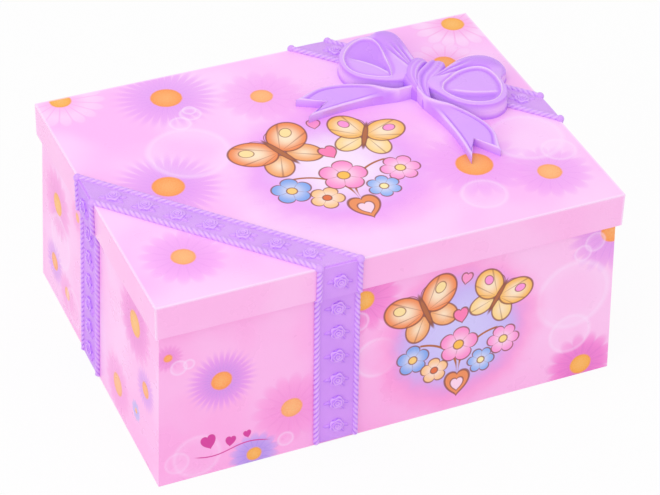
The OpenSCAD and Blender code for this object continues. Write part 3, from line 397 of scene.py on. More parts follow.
class Print:
    """Printed pattern: each method lays one motif over the colour so far.

    Places are millimetres on an unrolled plane, held as two plain numbers, so that each motif is
    worked out in turn and the shader stays within what the renderer can hold.
    """

    INK, STREAK, GLINT = "8A4A3A", "FFE6FF", "FFE3FF"
    HEART_LIGHT, HEART_RIM = "FFD08A", "F58A3C"

    def __init__(self, tree: NodeTree, plane: Pair, place: Socket, ground: Socket) -> None:
        """Start from a ground colour.

        Args:
            tree: The material's nodes.
            plane: The place on the unrolled plane.
            place: The place on the object, for the noises.
            ground: The colour before the print.
        """
        self.tree = tree
        self.plane = plane
        self.place = place
        self.colour = ground
        self.mottle = tree.noise(0.5, 3, place)
        self.speckle = tree.noise(2.2, 2, place).step(0.4, 0.62)

    def lay(self, mask: object, colour: object) -> None:
        """Lay a colour where the mask is one."""
        self.colour = self.tree.mix(mask, self.colour, colour)

    def local(self, x: float, y: float, wide: float = 1.0, tall: float = 1.0,
              turn: float = 0.0, of: Pair | None = None) -> Pair:
        """Move, turn and scale the plane so that a motif is about the origin.

        Args:
            x: The motif's place.
            y: The motif's place.
            wide: The length that becomes 1 along the motif's own X.
            tall: The length that becomes 1 along its own Y.
            turn: Degrees.
            of: The plane to start from.

        Returns:
            The motif's own coordinates.
        """
        across, up = of or self.plane
        across, up = across - x, up - y
        if turn:
            c, s = math.cos(math.radians(turn)), math.sin(math.radians(turn))
            across, up = across * c + up * s, up * c - across * s
        return across if wide == 1 else across / wide, up if tall == 1 else up / tall

    def far(self, own: Pair) -> Socket:
        """Distance from the origin."""
        return (own[0] * own[0] + own[1] * own[1]) ** 0.5

    def daisy(self, flower: Daisy) -> None:
        """Lay one daisy.

        Its petals reach out as the absolute sine of the turn about its heart. A line parts each
        two, paler streaks run along them, and they thin out towards their tips.

        Args:
            flower: The daisy.
        """
        own = self.local(flower.x, flower.y)
        distance = self.far(own)
        angle = own[1].maths("ARCTAN2", own[0])
        lobe = abs((angle * (flower.petals / 2) + flower.x).sin())
        form = flower.form
        reach = (lobe ** form.curve * form.depth + (1 - form.depth)) * flower.reach
        inside = (reach - distance).step(-0.03 * flower.reach, form.soft * flower.reach)
        parting = lobe.step(0.42, 0.0)
        fade = distance.step(flower.heart, flower.reach, 1.0, 0.25)
        tone = self.tree.mix(parting * fade * 0.75, linear(flower.petal), linear(flower.gap))
        warm = distance.step(2.6 * flower.heart, 0.9 * flower.heart, 0, 0.6)
        tone = self.tree.mix(warm, tone, linear(flower.gap))
        brim = abs(reach - distance - 0.07 * flower.reach).step(0.07 * flower.reach, 0.0)
        tone = self.tree.mix(brim * form.brim, tone, linear(flower.gap))
        streak = abs((angle * (1.5 * flower.petals)).sin()).step(0.3, 0.0) * distance.step(
            0.85 * flower.reach, flower.heart)
        tone = self.tree.mix(streak * form.streak, tone, linear(self.STREAK))
        thin = distance.step(0.55 * flower.reach, flower.reach, 1.0, 0.45)
        self.lay(inside * thin * flower.strength, tone)
        heart = (distance + self.mottle * 0.4).step(flower.heart + 0.5, flower.heart - 0.35)
        core = self.tree.mix(distance.step(0, flower.heart, 0.25, 0.0) + self.speckle * 0.25,
                             linear(flower.heart_colour), linear(self.HEART_LIGHT))
        core = self.tree.mix(distance.step(0.7 * flower.heart, flower.heart) * 0.35, core,
                             linear(self.HEART_RIM))
        self.lay(heart, core)

    def bubble(self, ball: Bubble) -> None:
        """Lay one bubble: a bright ring with a faint inside."""
        distance = self.far(self.local(ball.x, ball.y))
        width = 0.5 + 0.13 * ball.radius
        ring = abs(distance - ball.radius).step(width, 0)
        inside = distance.step(ball.radius, 0.45 * ball.radius, 0.42, 0.08)
        within = distance.step(ball.radius + 0.2, ball.radius - 0.2)
        self.lay((ring * 0.8).most(inside * within) * ball.strength, linear(self.GLINT))

    def line(self, edge: Socket, half: float = 0.3) -> Socket:
        """Mask of an ink line where a signed distance is nought."""
        return abs(edge).step(half + 0.22, half - 0.1)

    def inked(self, edge: Socket, colour: object, half: float = 0.26) -> None:
        """Fill a shape whose signed distance is below nought, and ink its outline."""
        self.lay(edge.step(0.12, -0.12), colour)
        self.lay(self.line(edge, half) * 0.85, linear(self.INK))

    def oval(self, x: float, y: float, wide: float, tall: float, turn: float = 0.0,
             of: Pair | None = None) -> Socket:
        """Signed distance to an oval, nearly: its scaled radius less one, times its half width."""
        return (self.far(self.local(x, y, wide, tall, turn, of)) - 1) * min(wide, tall)

    def heart(self, x: float, y: float, size: float, turn: float = 0.0) -> Socket:
        """Signed distance to a heart: a circle, its Y lowered by the root of X without its sign."""
        across, up = self.local(x, y, size, size, turn)
        raised = up - (abs(across) ** 0.5) * 0.62
        bend = (across * across + raised * raised) ** 0.5
        return (bend - 0.9) * (0.8 * size)

    def blossom(self, x: float, y: float, size: float, colour: str, middle: str,
                petals: int = 5) -> None:
        """Lay an inked blossom: its edge is the absolute cosine of the turn about its middle."""
        own = self.local(x, y)
        distance = self.far(own)
        angle = own[1].maths("ARCTAN2", own[0])
        lobe = abs((angle * (petals / 2) + x + math.pi / 4).sin())
        edge = distance - (lobe ** 0.55 * 0.34 + 0.66) * size
        pale = self.tree.mix(distance.step(0, size, 0.65, 0.0), linear(colour), linear("FFF6FF"))
        self.inked(edge, pale)
        vein = lobe.step(0.22, 0.0) * distance.step(0.75 * size, 0.3 * size)
        self.lay(vein * 0.55, linear(self.INK))
        self.inked(distance - 0.26 * size, linear(middle), 0.2)

    def butterfly(self, x: float, y: float, size: float, turn: float, upper: str, lower: str,
                  spot: str) -> None:
        """Lay a butterfly: one side's ovals on the absolute own X, with ribs and a thin body."""
        own = self.local(x, y, 1, 1, turn)
        across, up = abs(own[0]), own[1]
        folded = (across, up)
        low = self.oval(0.42 * size, -0.42 * size, 0.36 * size, 0.46 * size, 32, folded)
        high = self.oval(0.56 * size, 0.36 * size, 0.5 * size, 0.62 * size, -48, folded)
        rib = abs(up.maths("ARCTAN2", across) * 9.0).sin()
        for edge, tint in ((low, lower), (high, upper)):
            fill = self.tree.mix(edge.step(-0.42 * size, 0), linear("FFE9C9"), linear(tint))
            fill = self.tree.mix(rib.step(0.94, 1.0) * 0.5, fill, linear(self.INK))
            self.inked(edge, fill)
        self.inked(self.oval(0.66 * size, 0.5 * size, 0.15 * size, 0.19 * size, -48, folded),
                   linear(spot), 0.12)
        self.inked(self.oval(0, 0, 0.075 * size, 0.56 * size, 0, own), linear("B4673A"), 0.16)
        feeler = self.far(self.local(0.34 * size, 0.5 * size, 1, 1, 0, folded)) - 0.3 * size
        self.lay(self.line(feeler, 0.1) * up.step(0.5 * size, 0.62 * size)
                 * across.step(0.36 * size, 0.3 * size), linear(self.INK))

    def posy(self, scene: Posy) -> None:
        """Lay a vignette."""
        x, y, s = scene.x, scene.y, scene.size
        reach = self.far(self.local(x, y, 1.05 * s, 1.06 * s))
        ragged = reach + self.tree.noise(0.12, 2, self.place) * 0.2
        self.lay(ragged.step(1.22, 0.78) * 0.75, linear(scene.rim))
        self.lay(ragged.step(1.0, 0.6) * 0.85, linear(scene.halo))
        self.lay(ragged.step(0.85, 0.3) * 0.8, linear(scene.centre))
        for side in (-1, 1):
            stem = self.far(self.local(x + 0.5 * side * s, y - 0.55 * s)) - 0.5 * s
            own = self.local(x, y)
            mask = (own[0] * side).step(0.0, 0.8) * (own[0] * side).step(0.5 * s, 0.46 * s)
            self.lay(self.line(stem, 0.42) * mask * own[1].step(-0.62 * s, -0.56 * s),
                     linear("B4673A"))
        for k, (dx, dy, size, tint, middle) in enumerate((
                (-0.56, -0.22, 0.2, "7FA8F0", "FFD27A"), (0.56, -0.24, 0.2, "FF9ADB", "FFE08A"),
                (-0.29, -0.44, 0.17, "FFC98C", "E8703C"), (0.29, -0.46, 0.17, "8FB4F5", "FFF0B0"),
                (0.0, -0.16, 0.24, "FF8FD0", "FFC24F"))):
            self.blossom(x + dx * s, y + dy * s, size * s, tint, middle, 5 + k % 2)
        self.inked(self.heart(x, y - 0.74 * s, 0.17 * s), linear("F0915A"), 0.3)
        self.inked(self.heart(x, y - 0.74 * s, 0.09 * s), linear("FFD9EE"), 0.16)
        self.butterfly(x - 0.42 * s, y + 0.42 * s, 0.4 * s, 22, "F58A4C", "F7A765", "FFE3A0")
        self.butterfly(x + 0.46 * s, y + 0.38 * s, 0.34 * s, -28, "FDBE5C", "FFD98E", "FF9ADB")
        self.inked(self.heart(x + 0.02 * s, y + 0.22 * s, 0.1 * s, 8), linear("FF7FB8"), 0.2)
        self.inked(self.heart(x + 0.06 * s, y + 0.72 * s, 0.075 * s, -14), linear("FF9AD0"), 0.16)


MAUVE, MAUVE_GAP = "ECA0F8", "D684F2"
ORANGE, YELLOW, PEACH = "FF9A4A", "FBAE3C", "FFAC6E"
LID_DAISIES = (
    Daisy(10, 138, 4.5, 20, YELLOW, "FFDCFC", "FB9FE8", 17, 0.65),
    Daisy(50, 125, 6.5, 24, ORANGE, MAUVE, MAUVE_GAP, 30, 0.7, POINTED),
    Daisy(86, 112.5, 4.7, 19, PEACH, "F9A8F4", "EE92EC", 14, 0.6),
    Daisy(30, 68, 6.5, 24, ORANGE, MAUVE, MAUVE_GAP, 30, 0.75, POINTED),
    Daisy(20, 25, 4.8, 17.5, PEACH, "F8A6F7", "EA93EE", 16, 0.75),
    Daisy(145, 39, 7.5, 23, ORANGE, "F2A0F8", "E88CF2", 20, 0.6),
    Daisy(170, 24, 5, 18, PEACH, "F4A2F6", "E890F0", 16, 0.7),
    Daisy(181, 134, 5, 20, YELLOW, "FFDCFC", "F98FDC", 15, 0.75),
    Daisy(165, 108, 5, 17, ORANGE, "FFD2FA", "F78CD8", 14, 0.65),
)
LID_BUBBLES = (
    Bubble(45, 86, 15.5), Bubble(49, 106, 4, 0.7), Bubble(55, 111, 4, 0.7),
    Bubble(55.5, 113.5, 2.5, 0.7), Bubble(172, 48, 14), Bubble(180, 36, 6.5), Bubble(140, 20, 8.5),
)
LID_POSY = Posy(95, 57, 40, "E9A6FB", "F3A2F8", "FFF1FF")

# The base's print is unrolled: the front runs from 0, and each side from its own start.
SIDE_START = 1000.0
FRONT_DAISIES = (
    Daisy(5, 59.5, 1.8, 7, ORANGE, "F492DC", "E67CD2", 18, 0.75, POINTED),
    Daisy(25.5, 43, 4.3, 15.5, ORANGE, "EA94EE", "C480E8", 30, 0.85, POINTED),
    Daisy(53.5, 21.5, 4.5, 17.5, PEACH, "FD9ADF", "F384D4", 15, 0.75),
    Daisy(38, 3.8, 3.2, 11, YELLOW, "C9A6F4", "A98AEE", 14, 0.95),
    Daisy(82.5, 63.5, 4.5, 17, YELLOW, "FA84D6", "E868C6", 14, 0.85),
    Daisy(178, 5, 4.8, 16.5, YELLOW, "F87FD6", "E263C8", 14, 0.9),
    Daisy(188, 68, 6, 21, ORANGE, "EB98EE", "D880EA", 22, 0.75),
)
FRONT_BUBBLES = (
    Bubble(9, 54, 3, 0.6), Bubble(13, 54.5, 2, 0.6), Bubble(15, 10, 9, 0.4), Bubble(7, 9, 4.5, 0.4),
    Bubble(51, 7, 3, 0.6), Bubble(80.5, 54, 4, 0.6), Bubble(88.5, 35, 8.5, 0.6),
    Bubble(172, 41, 15), Bubble(172, 22, 8.5), Bubble(175, 60, 3.4), Bubble(180, 64, 4),
)
FRONT_HEARTS = ((20, 14.5, 3.4, 12), (28.5, 12.5, 2.4, -8), (35.5, 14, 1.8, 10))
FRONT_POSY = Posy(123, 36.5, 34.5, "BDB6FA", "FF86D2", "D3CEFD")
SIDE_DAISIES = (
    Daisy(27, 57.5, 5.5, 18, YELLOW, "F78EDC", "E672CC", 16, 0.85),
    Daisy(15, 35, 3.5, 11, ORANGE, "E698EE", "CA84EA", 24, 0.75, POINTED),
    Daisy(46, 13.5, 5, 15, PEACH, "FB98DE", "F084D6", 15, 0.65),
    Daisy(25, 17, 1.3, 5, YELLOW, "B9B4F2", "A89EEC", 10, 0.8),
    Daisy(119, 49.5, 5, 17, YELLOW, "F98FDC", "EA78CE", 15, 0.7),
    Daisy(124, 17.5, 4, 12, ORANGE, "E698EE", "CA84EA", 22, 0.75, POINTED),
    Daisy(108, 12.5, 3, 10, PEACH, "FA98DE", "EF84D6", 14, 0.6),
    Daisy(94, 60, 2.2, 8, PEACH, "FA98DE", "EF84D6", 12, 0.6),
)
SIDE_BUBBLES = (Bubble(116, 33, 11, 0.45), Bubble(100, 11, 8, 0.45))


@dataclass(frozen=True)
class PrintedLid:
    """The lid's plastic: plain pink down its rim, and printed on top."""

    plastic: Plastic = Plastic("lid_pink", "FFB4EE", "FF9FE6", 0.3, 0.0)

    def made(self) -> bpy.types.Material:
        """Build the material."""
        tree = NodeTree("printed_lid")
        place = tree.placed()
        x, y, height = tree.split(place)
        x, y = x + HALF_W, y + HALF_D
        cloud = tree.noise(0.022, 2, place).step(0.35, 0.65)
        ground = tree.mix(cloud, linear("FFBCF8"), linear("FFD0FD"))
        ground = tree.mix(y.step(20, 0) * 0.4 + x.step(150, 190) * 0.1, ground, linear("FFD2F8"))
        art = Print(tree, (x, y), place, ground)
        for flower in LID_DAISIES:
            art.daisy(flower)
        for ball in LID_BUBBLES:
            art.bubble(ball)
        art.posy(LID_POSY)
        tone = tree.noise(0.03, 2, place).step(0.35, 0.65)
        plain = tree.mix(tone, linear("FFB9EC"), linear("FFC2F0"))
        inner = tree.mix(tone, linear("FBA9E4"), linear("FDB4EA"))
        side = tree.mix(height.step(TOP - 0.4, TOP - 0.2), plain, art.colour)
        # Painted highlight: within about a millimetre of the lid's outer edges the colour turns
        # pale.
        reach, depth = abs(x - HALF_W) * -1 + HALF_W, abs(y - HALF_D) * -1 + HALF_D
        drop = height * -1 + TOP
        nearest = reach + depth + drop - reach.most(depth).most(drop)
        side = tree.mix(nearest.step(1.1, 0.2) * 0.65, side, linear("FFE4FF"))
        within = reach.step(1.5, 2.0) * depth.step(1.5, 2.0) * drop.step(1.8, 2.0)
        return tree.finish(self.plastic.surface(tree, tree.mix(within, side, inner)))


@dataclass(frozen=True)
class PrintedBase:
    """The base's plastic, printed on its four walls."""

    plastic: Plastic = Plastic("base_pink", "FFB4EE", "FF9FE6", 0.3, 0.0)

    def made(self) -> bpy.types.Material:
        """Build the material."""
        tree = NodeTree("printed_base")
        place = tree.placed()
        normal = tree.node("ShaderNodeTexCoord", output="Normal")
        x, y, z = tree.split(place)
        nx, ny, _ = tree.split(normal)
        is_side = (abs(nx) - abs(ny)).maths("GREATER_THAN", 0.0)
        front_x = x * (ny * -1).maths("SIGN") + HALF_W
        side_x = y * (nx * -1).maths("SIGN") + (HALF_D + SIDE_START)
        across = front_x + (side_x - front_x) * is_side
        outside = abs(x).step(91.4, 91.8).most(abs(y).step(66.4, 66.8))
        cloud = tree.noise(0.03, 2, place).step(0.35, 0.65)
        front = tree.mix(cloud, linear("FFAFE8"), linear("FFBCEE"))
        front = tree.mix(across.step(70, 180) * 0.65, front, linear("FFCFF6"))
        # Painted light: the side walls' ground is paler than the front's, as lit from the left.
        lit_side_ground = tree.mix(cloud, linear("FFB6EC"), linear("FFCCF6"))
        ground = tree.mix(is_side, front, lit_side_ground)
        ground = tree.mix(z.step(30, 0) * 0.25, ground, linear("FFA6E4"))
        art = Print(tree, (across, z), place, ground)
        for flower in FRONT_DAISIES:
            art.daisy(flower)
        for flower in SIDE_DAISIES:
            art.daisy(replace(flower, x=flower.x + SIDE_START))
        for ball in FRONT_BUBBLES:
            art.bubble(ball)
        for ball in SIDE_BUBBLES:
            art.bubble(replace(ball, x=ball.x + SIDE_START))
        art.posy(FRONT_POSY)
        for heart in FRONT_HEARTS:
            art.lay(art.heart(*heart).step(0.15, -0.15), linear("D8389F"))
        wave = z - (across * 0.22).sin() * 1.3 - 9.3
        art.lay(art.line(wave, 0.22) * across.step(13, 17) * across.step(46, 41), linear("D8389F"))
        colour = tree.mix(outside, linear("FCA6E0"), art.colour)
        return tree.finish(self.plastic.surface(tree, colour))


# ---------------------------------------------------------------- meshes

def turned(points: np.ndarray, degrees: float, axis: int = 2) -> np.ndarray:
    """Turn points about an axis through the origin.

    Args:
        points: Any array whose last length is 3.
        degrees: The turn.
        axis: 0, 1 or 2 for X, Y or Z.

    Returns:
        The turned points.
    """
    c, s = math.cos(math.radians(degrees)), math.sin(math.radians(degrees))
    i, j = [(1, 2), (2, 0), (0, 1)][axis]
    matrix = np.eye(3)
    matrix[i, i] = matrix[j, j] = c
    matrix[i, j], matrix[j, i] = -s, s
    return points @ matrix.T


def hump(x: np.ndarray, width: float | np.ndarray) -> np.ndarray:
    """A bell-shaped hump, one high: e to the power of minus the square of x over its width."""
    return np.exp(-(x / width) ** 2)


def smooth(t: np.ndarray | float) -> np.ndarray:
    """Smooth step: 3 t squared less 2 t cubed, with t held from 0 to 1."""
    k = np.clip(t, 0, 1)
    return k * k * (3 - 2 * k)


@dataclass
class Skin:
    """Points, faces, shade and UV gathered from several surfaces, in millimetres."""

    points: list[np.ndarray] = field(default_factory=list)
    faces: list[list[int]] = field(default_factory=list)
    shade: list[np.ndarray] = field(default_factory=list)
    uv: list[np.ndarray] = field(default_factory=list)
    count: int = 0

    def add(self, points: np.ndarray, faces: Iterable[np.ndarray], shade: np.ndarray | None = None,
            uv: np.ndarray | None = None) -> None:
        """Add points and the faces over them.

        Args:
            points: One row a point.
            faces: Arrays of point numbers, one row a face.
            shade: A value a point, 1 where it is deepest.
            uv: A pair a point.
        """
        flat = np.asarray(points, float).reshape(-1, 3)
        for block in faces:
            self.faces.extend((np.asarray(block) + self.count).tolist())
        self.points.append(flat)
        blank = np.zeros(len(flat))
        self.shade.append(blank if shade is None else np.asarray(shade, float).reshape(-1))
        self.uv.append(np.zeros((len(flat), 2)) if uv is None
                       else np.asarray(uv, float).reshape(-1, 2))
        self.count += len(flat)

    def grid(self, points: np.ndarray, wrap_u: bool = False, wrap_v: bool = False,
             caps: tuple[bool, bool] = (False, False), shade: np.ndarray | None = None,
             uv: np.ndarray | None = None) -> None:
        """Add a grid: quads between neighbouring rows and columns.

        Args:
            points: Rows by columns by 3.
            wrap_u: Whether the last row meets the first.
            wrap_v: Whether the last column meets the first.
            caps: Whether the first and the last row are closed by a fan about their middle.
            shade: A value a point.
            uv: A pair a point.
        """
        rows, columns = points.shape[:2]
        number = np.arange(rows * columns).reshape(rows, columns)
        down = np.concatenate([number, number[:1]]) if wrap_u else number
        ring = np.concatenate([down, down[:, :1]], axis=1) if wrap_v else down
        quads = np.stack([ring[:-1, :-1], ring[1:, :-1], ring[1:, 1:], ring[:-1, 1:]], axis=-1)
        flat = points.reshape(-1, 3)
        faces = [quads.reshape(-1, 4)]
        tones = np.zeros(rows * columns) if shade is None else np.asarray(shade, float).reshape(-1)
        pairs = (np.zeros((rows * columns, 2)) if uv is None
                 else np.asarray(uv, float).reshape(-1, 2))
        for row, wanted, outward in ((0, caps[0], True), (rows - 1, caps[1], False)):
            if wanted:
                edge = number[row]
                after = np.roll(edge, -1)
                middle = np.full(columns, len(flat))
                fan = [edge, after, middle] if outward else [after, edge, middle]
                faces.append(np.stack(fan, axis=-1))
                flat = np.vstack([flat, points[row].mean(axis=0)])
                tones = np.append(tones, tones[edge].mean())
                pairs = np.vstack([pairs, pairs[edge].mean(axis=0)])
        self.add(flat, faces, tones, pairs)

    def slab(self, top: np.ndarray, floor: float, shade: np.ndarray | None = None,
             foot: float = 0.0) -> None:
        """Add a closed slab between a surface and the plane z = floor.

        Args:
            top: Rows by columns by 3.
            floor: The plane's height.
            shade: A value a point of the top.
            foot: The value of the points on the plane.
        """
        under = top.copy()
        under[..., 2] = floor
        rows, columns = top.shape[:2]
        number = np.arange(rows * columns).reshape(rows, columns)
        below = number + rows * columns

        def sheet(n: np.ndarray) -> np.ndarray:
            """Quads of a grid of numbers."""
            return np.stack([n[:-1, :-1], n[1:, :-1], n[1:, 1:], n[:-1, 1:]], -1).reshape(-1, 4)

        def wall(a: np.ndarray, b: np.ndarray) -> np.ndarray:
            """Quads between two edges."""
            return np.stack([a[:-1], b[:-1], b[1:], a[1:]], axis=-1)

        faces = [sheet(number), sheet(below)[:, ::-1], wall(number[0][::-1], below[0][::-1]),
                 wall(number[-1], below[-1]), wall(number[:, 0], below[:, 0]),
                 wall(number[:, -1][::-1], below[:, -1][::-1])]
        tones = np.zeros(rows * columns) if shade is None else np.asarray(shade, float).reshape(-1)
        self.add(np.concatenate([top.reshape(-1, 3), under.reshape(-1, 3)]), faces,
                 np.concatenate([tones, np.full(len(tones), foot)]))

    def moved(self, change: Callable[[np.ndarray], np.ndarray]) -> "Skin":
        """Carry every point by a function of the whole array."""
        self.points = [change(p) for p in self.points]
        return self

    def piece(self, name: str, material: bpy.types.Material, body: str, slot: str = "",
              replaces: Sequence[str] = (), sharp: float = 50.0) -> bpy.types.Object:
        """Make the Blender object, closed and facing outwards.

        Args:
            name: The piece's name.
            material: Its finish.
            body: The body that it rides on.
            slot: Not used.
            replaces: The CAD nodes that it stands for.
            sharp: Edges that turn by more than this many degrees stay sharp.

        Returns:
            The object.
        """
        mesh = bpy.data.meshes.new(name)
        mesh.from_pydata((np.concatenate(self.points) * MM).tolist(), [], self.faces)
        mesh.attributes.new("shade", "FLOAT", "POINT").data.foreach_set(
            "value", np.concatenate(self.shade).astype(np.float32))
        corners = np.zeros(len(mesh.loops), np.int32)
        mesh.loops.foreach_get("vertex_index", corners)
        layer = mesh.uv_layers.new(name="UVMap")
        layer.data.foreach_set("uv", np.concatenate(self.uv)[corners].astype(np.float32).ravel())
        work = bmesh.new()
        work.from_mesh(mesh)
        bmesh.ops.remove_doubles(work, verts=work.verts, dist=1e-6)
        bmesh.ops.recalc_face_normals(work, faces=work.faces)
        work.to_mesh(mesh)
        work.free()
        mesh.shade_smooth()
        mesh.set_sharp_from_angle(angle=math.radians(sharp))
        mesh.materials.append(material)
        made = bpy.data.objects.new(name, mesh)
        bpy.context.scene.collection.objects.link(made)
        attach(made, body)
        if replaces:
            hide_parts(*replaces)
        LOG.info("%s: %d points, %d faces, rides on %s", name, len(mesh.vertices),
                 len(mesh.polygons), body)
        return made


# ---------------------------------------------------------------- ribbons

@dataclass
class Place:
    """A flat place in space: an origin, a direction along and the way out of the surface."""

    origin: np.ndarray
    along: np.ndarray
    out: np.ndarray

    def carry(self, points: np.ndarray) -> np.ndarray:
        """Carry points from this place's own frame, X along and Z out, into the row frame."""
        x = unit(self.along)
        z = unit(self.out)
        y = np.cross(z, x)
        return np.asarray(self.origin, float) + points @ np.stack([x, y, z])


@dataclass
class Ribbon:
    """A moulded ribbon: a woven band between two ropes, with roses along its middle."""

    rope_r: float = 1.2
    band_t: float = 0.8
    rose_r: float = 3.0
    lay: float = 7.2
    strands: int = 3

    def rope(self, skin: Skin, start: Vec, end: Vec, hand: int = 1) -> None:
        """Lay a twisted rope.

        Its radius falls in the grooves between the strands, whose turn grows evenly along it.

        Args:
            skin: Where it goes.
            start: One end.
            end: The other end.
            hand: Which way it is twisted.
        """
        a, b = np.asarray(start, float), np.asarray(end, float)
        length = np.linalg.norm(b - a)
        s = np.linspace(0, length, int(length / 0.36) + 2)[:, None]
        v = np.linspace(0, TAU, 22, endpoint=False)[None, :]
        lobe = np.abs(np.cos(self.strands / 2 * (v - hand * TAU * s / self.lay)))
        radius = self.rope_r * (0.72 + 0.33 * lobe ** 0.6)
        ring = np.stack([s + 0 * v, radius * np.cos(v), radius * np.sin(v)], axis=-1)
        side = np.array([0, 0, 1.0]) if abs((b - a)[2]) < 0.5 * length else np.array([0, 1.0, 0])
        place = Place(a, b - a, side - (b - a) * (side @ (b - a)) / length ** 2)
        # Painted shade in the grooves between the strands, and a painted highlight along their
        # crests.
        skin.grid(place.carry(ring), wrap_v=True, caps=(True, True),
                  shade=1.05 - 1.95 * lobe ** 0.7)

    def ball(self, skin: Skin, centre: Vec) -> None:
        """Add a ball, where a rope turns over an edge."""
        a = np.linspace(0.02, math.pi - 0.02, 14)[:, None]
        b = np.linspace(0, TAU, 22, endpoint=False)[None, :]
        ball = np.stack([np.sin(a) * np.cos(b), np.sin(a) * np.sin(b), np.cos(a) + 0 * b], axis=-1)
        skin.grid(np.asarray(centre) + 1.38 * self.rope_r * ball, wrap_v=True, caps=(True, True))

    def band(self, skin: Skin, corners: Sequence[Vec], out: Vec) -> None:
        """Add a band between two edges, low at the ropes and a little crowned between them.

        Args:
            skin: Where it goes.
            corners: Start and end of one edge, then of the other.
            out: The way out of the surface.
        """
        p = np.asarray(corners, float)
        n = unit(out)
        length = np.linalg.norm(p[1] - p[0])
        s = np.linspace(0, 1, int(length / 2) + 2)[:, None, None]
        t = np.linspace(0, 1, 15)[None, :, None]
        flat = (p[0] * (1 - s) + p[1] * s) * (1 - t) + (p[2] * (1 - s) + p[3] * s) * t
        crown = self.band_t * (0.72 + 0.28 * np.sin(math.pi * t) ** 0.5)
        top = flat + n * crown
        foot = flat - n * 0.05
        loop = np.concatenate([top, foot[:, ::-1]], axis=1)
        width = np.linalg.norm(p[2] - p[0])
        across = np.concatenate([t[0, :, 0], t[0, ::-1, 0]]) * width
        uv = np.stack(np.broadcast_arrays(s[:, :, 0] * length, across[None, :]), axis=-1)
        skin.grid(loop, wrap_v=True, caps=(True, True), uv=uv)

    def rose(self, skin: Skin, place: Place, turn: float) -> None:
        """Add a rose of three rings of petals with three leaves.

        Each ring rises outwards to a lip and drops to the next one. Its edge is scalloped by the
        absolute cosine of two and a half times the turn, which starts further round in each ring.

        Args:
            skin: Where it goes.
            place: Where it lies.
            turn: Degrees from the place's own direction.
        """
        t = np.linspace(0.0, 1.0, 31)[1:, None]
        v = np.linspace(0, TAU, 60, endpoint=False)[None, :]
        ring = np.minimum(np.floor(3 * t), 2)
        scallop = np.abs(np.cos(2.5 * v + 1.4 * ring + 0.5))
        depth = 3 * t * (1.0 + 0.16 * (1 - scallop)) + 0.12 * np.cos(v)
        lip = depth - np.floor(depth)
        radius = 1.06 * self.rose_r * t * (1 - 0.12 * (1 - scallop) * t ** 3)
        height = (0.2 + 0.98 * np.sqrt(np.clip(1.02 - t ** 2, 0, 1))
                  + 0.34 * lip ** 1.5 * (1 - t ** 8))
        height = np.where(t > 0.99, -0.2, height) + 0 * v
        flower = np.stack([radius * np.cos(v), radius * np.sin(v), height], axis=-1)
        # Painted shade under each ring's lip and round the rim, and a painted highlight along the
        # lips.
        dark = (0.8 * (1 - smooth(lip / 0.3)) * smooth(6 * t) + 0.2 * smooth((t - 0.85) / 0.15)
                - 0.95 * smooth((lip - 0.5) / 0.3) * (1 - smooth((lip - 0.9) / 0.1)))
        skin.grid(place.carry(turned(flower, turn)), wrap_v=True, caps=(True, False),
                  shade=dark + 0 * v)
        s = np.linspace(0, 1, 12)[:, None]
        w = np.linspace(-1, 1, 9)[None, :]
        width = 1.02 * np.sin(math.pi * s ** 0.8) ** 0.8
        rib = hump(w, 0.16)
        veins = 0.08 * np.cos(TAU * 4 * (s - 0.25 * np.abs(w)))
        high = ((0.66 * (1 - w ** 2) - 0.24 * rib + veins * (1 - np.abs(w)))
                * np.sin(math.pi * s) ** 0.5)
        leaf = np.stack([2.1 + 3.4 * s + 0 * w, width * w, high], axis=-1)
        under = leaf.copy()
        under[..., 2] = -0.2
        closed = np.concatenate([leaf, under[:, ::-1]], axis=1)
        # Painted shade along the groove down each leaf's middle.
        leaf_groove_shade = np.concatenate([rib + 0 * s, rib + 0 * s], axis=1) * 0.7
        for at in (176, -16, -52):
            skin.grid(place.carry(turned(closed, turn + at)), wrap_v=True, caps=(True, True),
                      shade=leaf_groove_shade)

    def line(self, skin: Skin, edges: Sequence[tuple[Vec, Vec]], out: Vec) -> None:
        """Add a straight run of ribbon: two ropes and the band between them."""
        lift = unit(out) * self.band_t / 2
        for (a, b), hand in zip(edges, (1, -1)):
            self.rope(skin, np.asarray(a) + lift, np.asarray(b) + lift, hand)
        self.band(skin, (*edges[0], *edges[1]), out)


@dataclass
class LidRibbon(Ribbon):
    """Ribbon across a corner of the lid and down over both rim faces."""

    left: tuple[float, float] = (-1.7, 15.7246)
    front: tuple[float, float] = (-31.5, -15.3)
    pitch: float = 13.6
    roses: int = 7
    leaf_turn: float = -12.0

    def skin(self, shown: Sequence[int]) -> Skin:
        """Build the ribbon over the front left corner.

        Args:
            shown: The numbers of the roses that show, from the left rim.

        Returns:
            Its skin.
        """
        skin = Skin()
        a = [np.array([-HALF_W, y, TOP]) for y in self.left]
        b = [np.array([x, -HALF_D, TOP]) for x in self.front]
        low = np.array([0, 0, SHOULDER - TOP])
        self.line(skin, [(a[0], b[0]), (a[1], b[1])], (0, 0, 1))
        self.line(skin, [(b[0], b[0] + low), (b[1], b[1] + low)], (0, -1, 0))
        self.line(skin, [(a[1], a[1] + low), (a[0], a[0] + low)], (-1, 0, 0))
        for i in (0, 1):
            self.ball(skin, a[i] + [-0.2, 0, 0.2])
            self.ball(skin, b[i] + [0, -0.2, 0.2])
        run = (b[0] + b[1] - a[0] - a[1]) / 2
        along = unit(run)
        middle = (a[0] + a[1] + b[0] + b[1]) / 4 + [0, 0, self.band_t]
        for i in shown:
            place = Place(middle + along * self.pitch * (i - (self.roses - 1) / 2),
                          (1, 0, 0), (0, 0, 1))
            self.rose(skin, place, self.leaf_turn)
        z = (TOP + SHOULDER) / 2
        self.rose(skin, Place((sum(self.front) / 2, -HALF_D - self.band_t, z), (1, 0, 0),
                              (0, -1, 0)), 0)
        self.rose(skin, Place((-HALF_W - self.band_t, sum(self.left) / 2, z), (0, -1, 0),
                              (-1, 0, 0)), 0)
        return skin


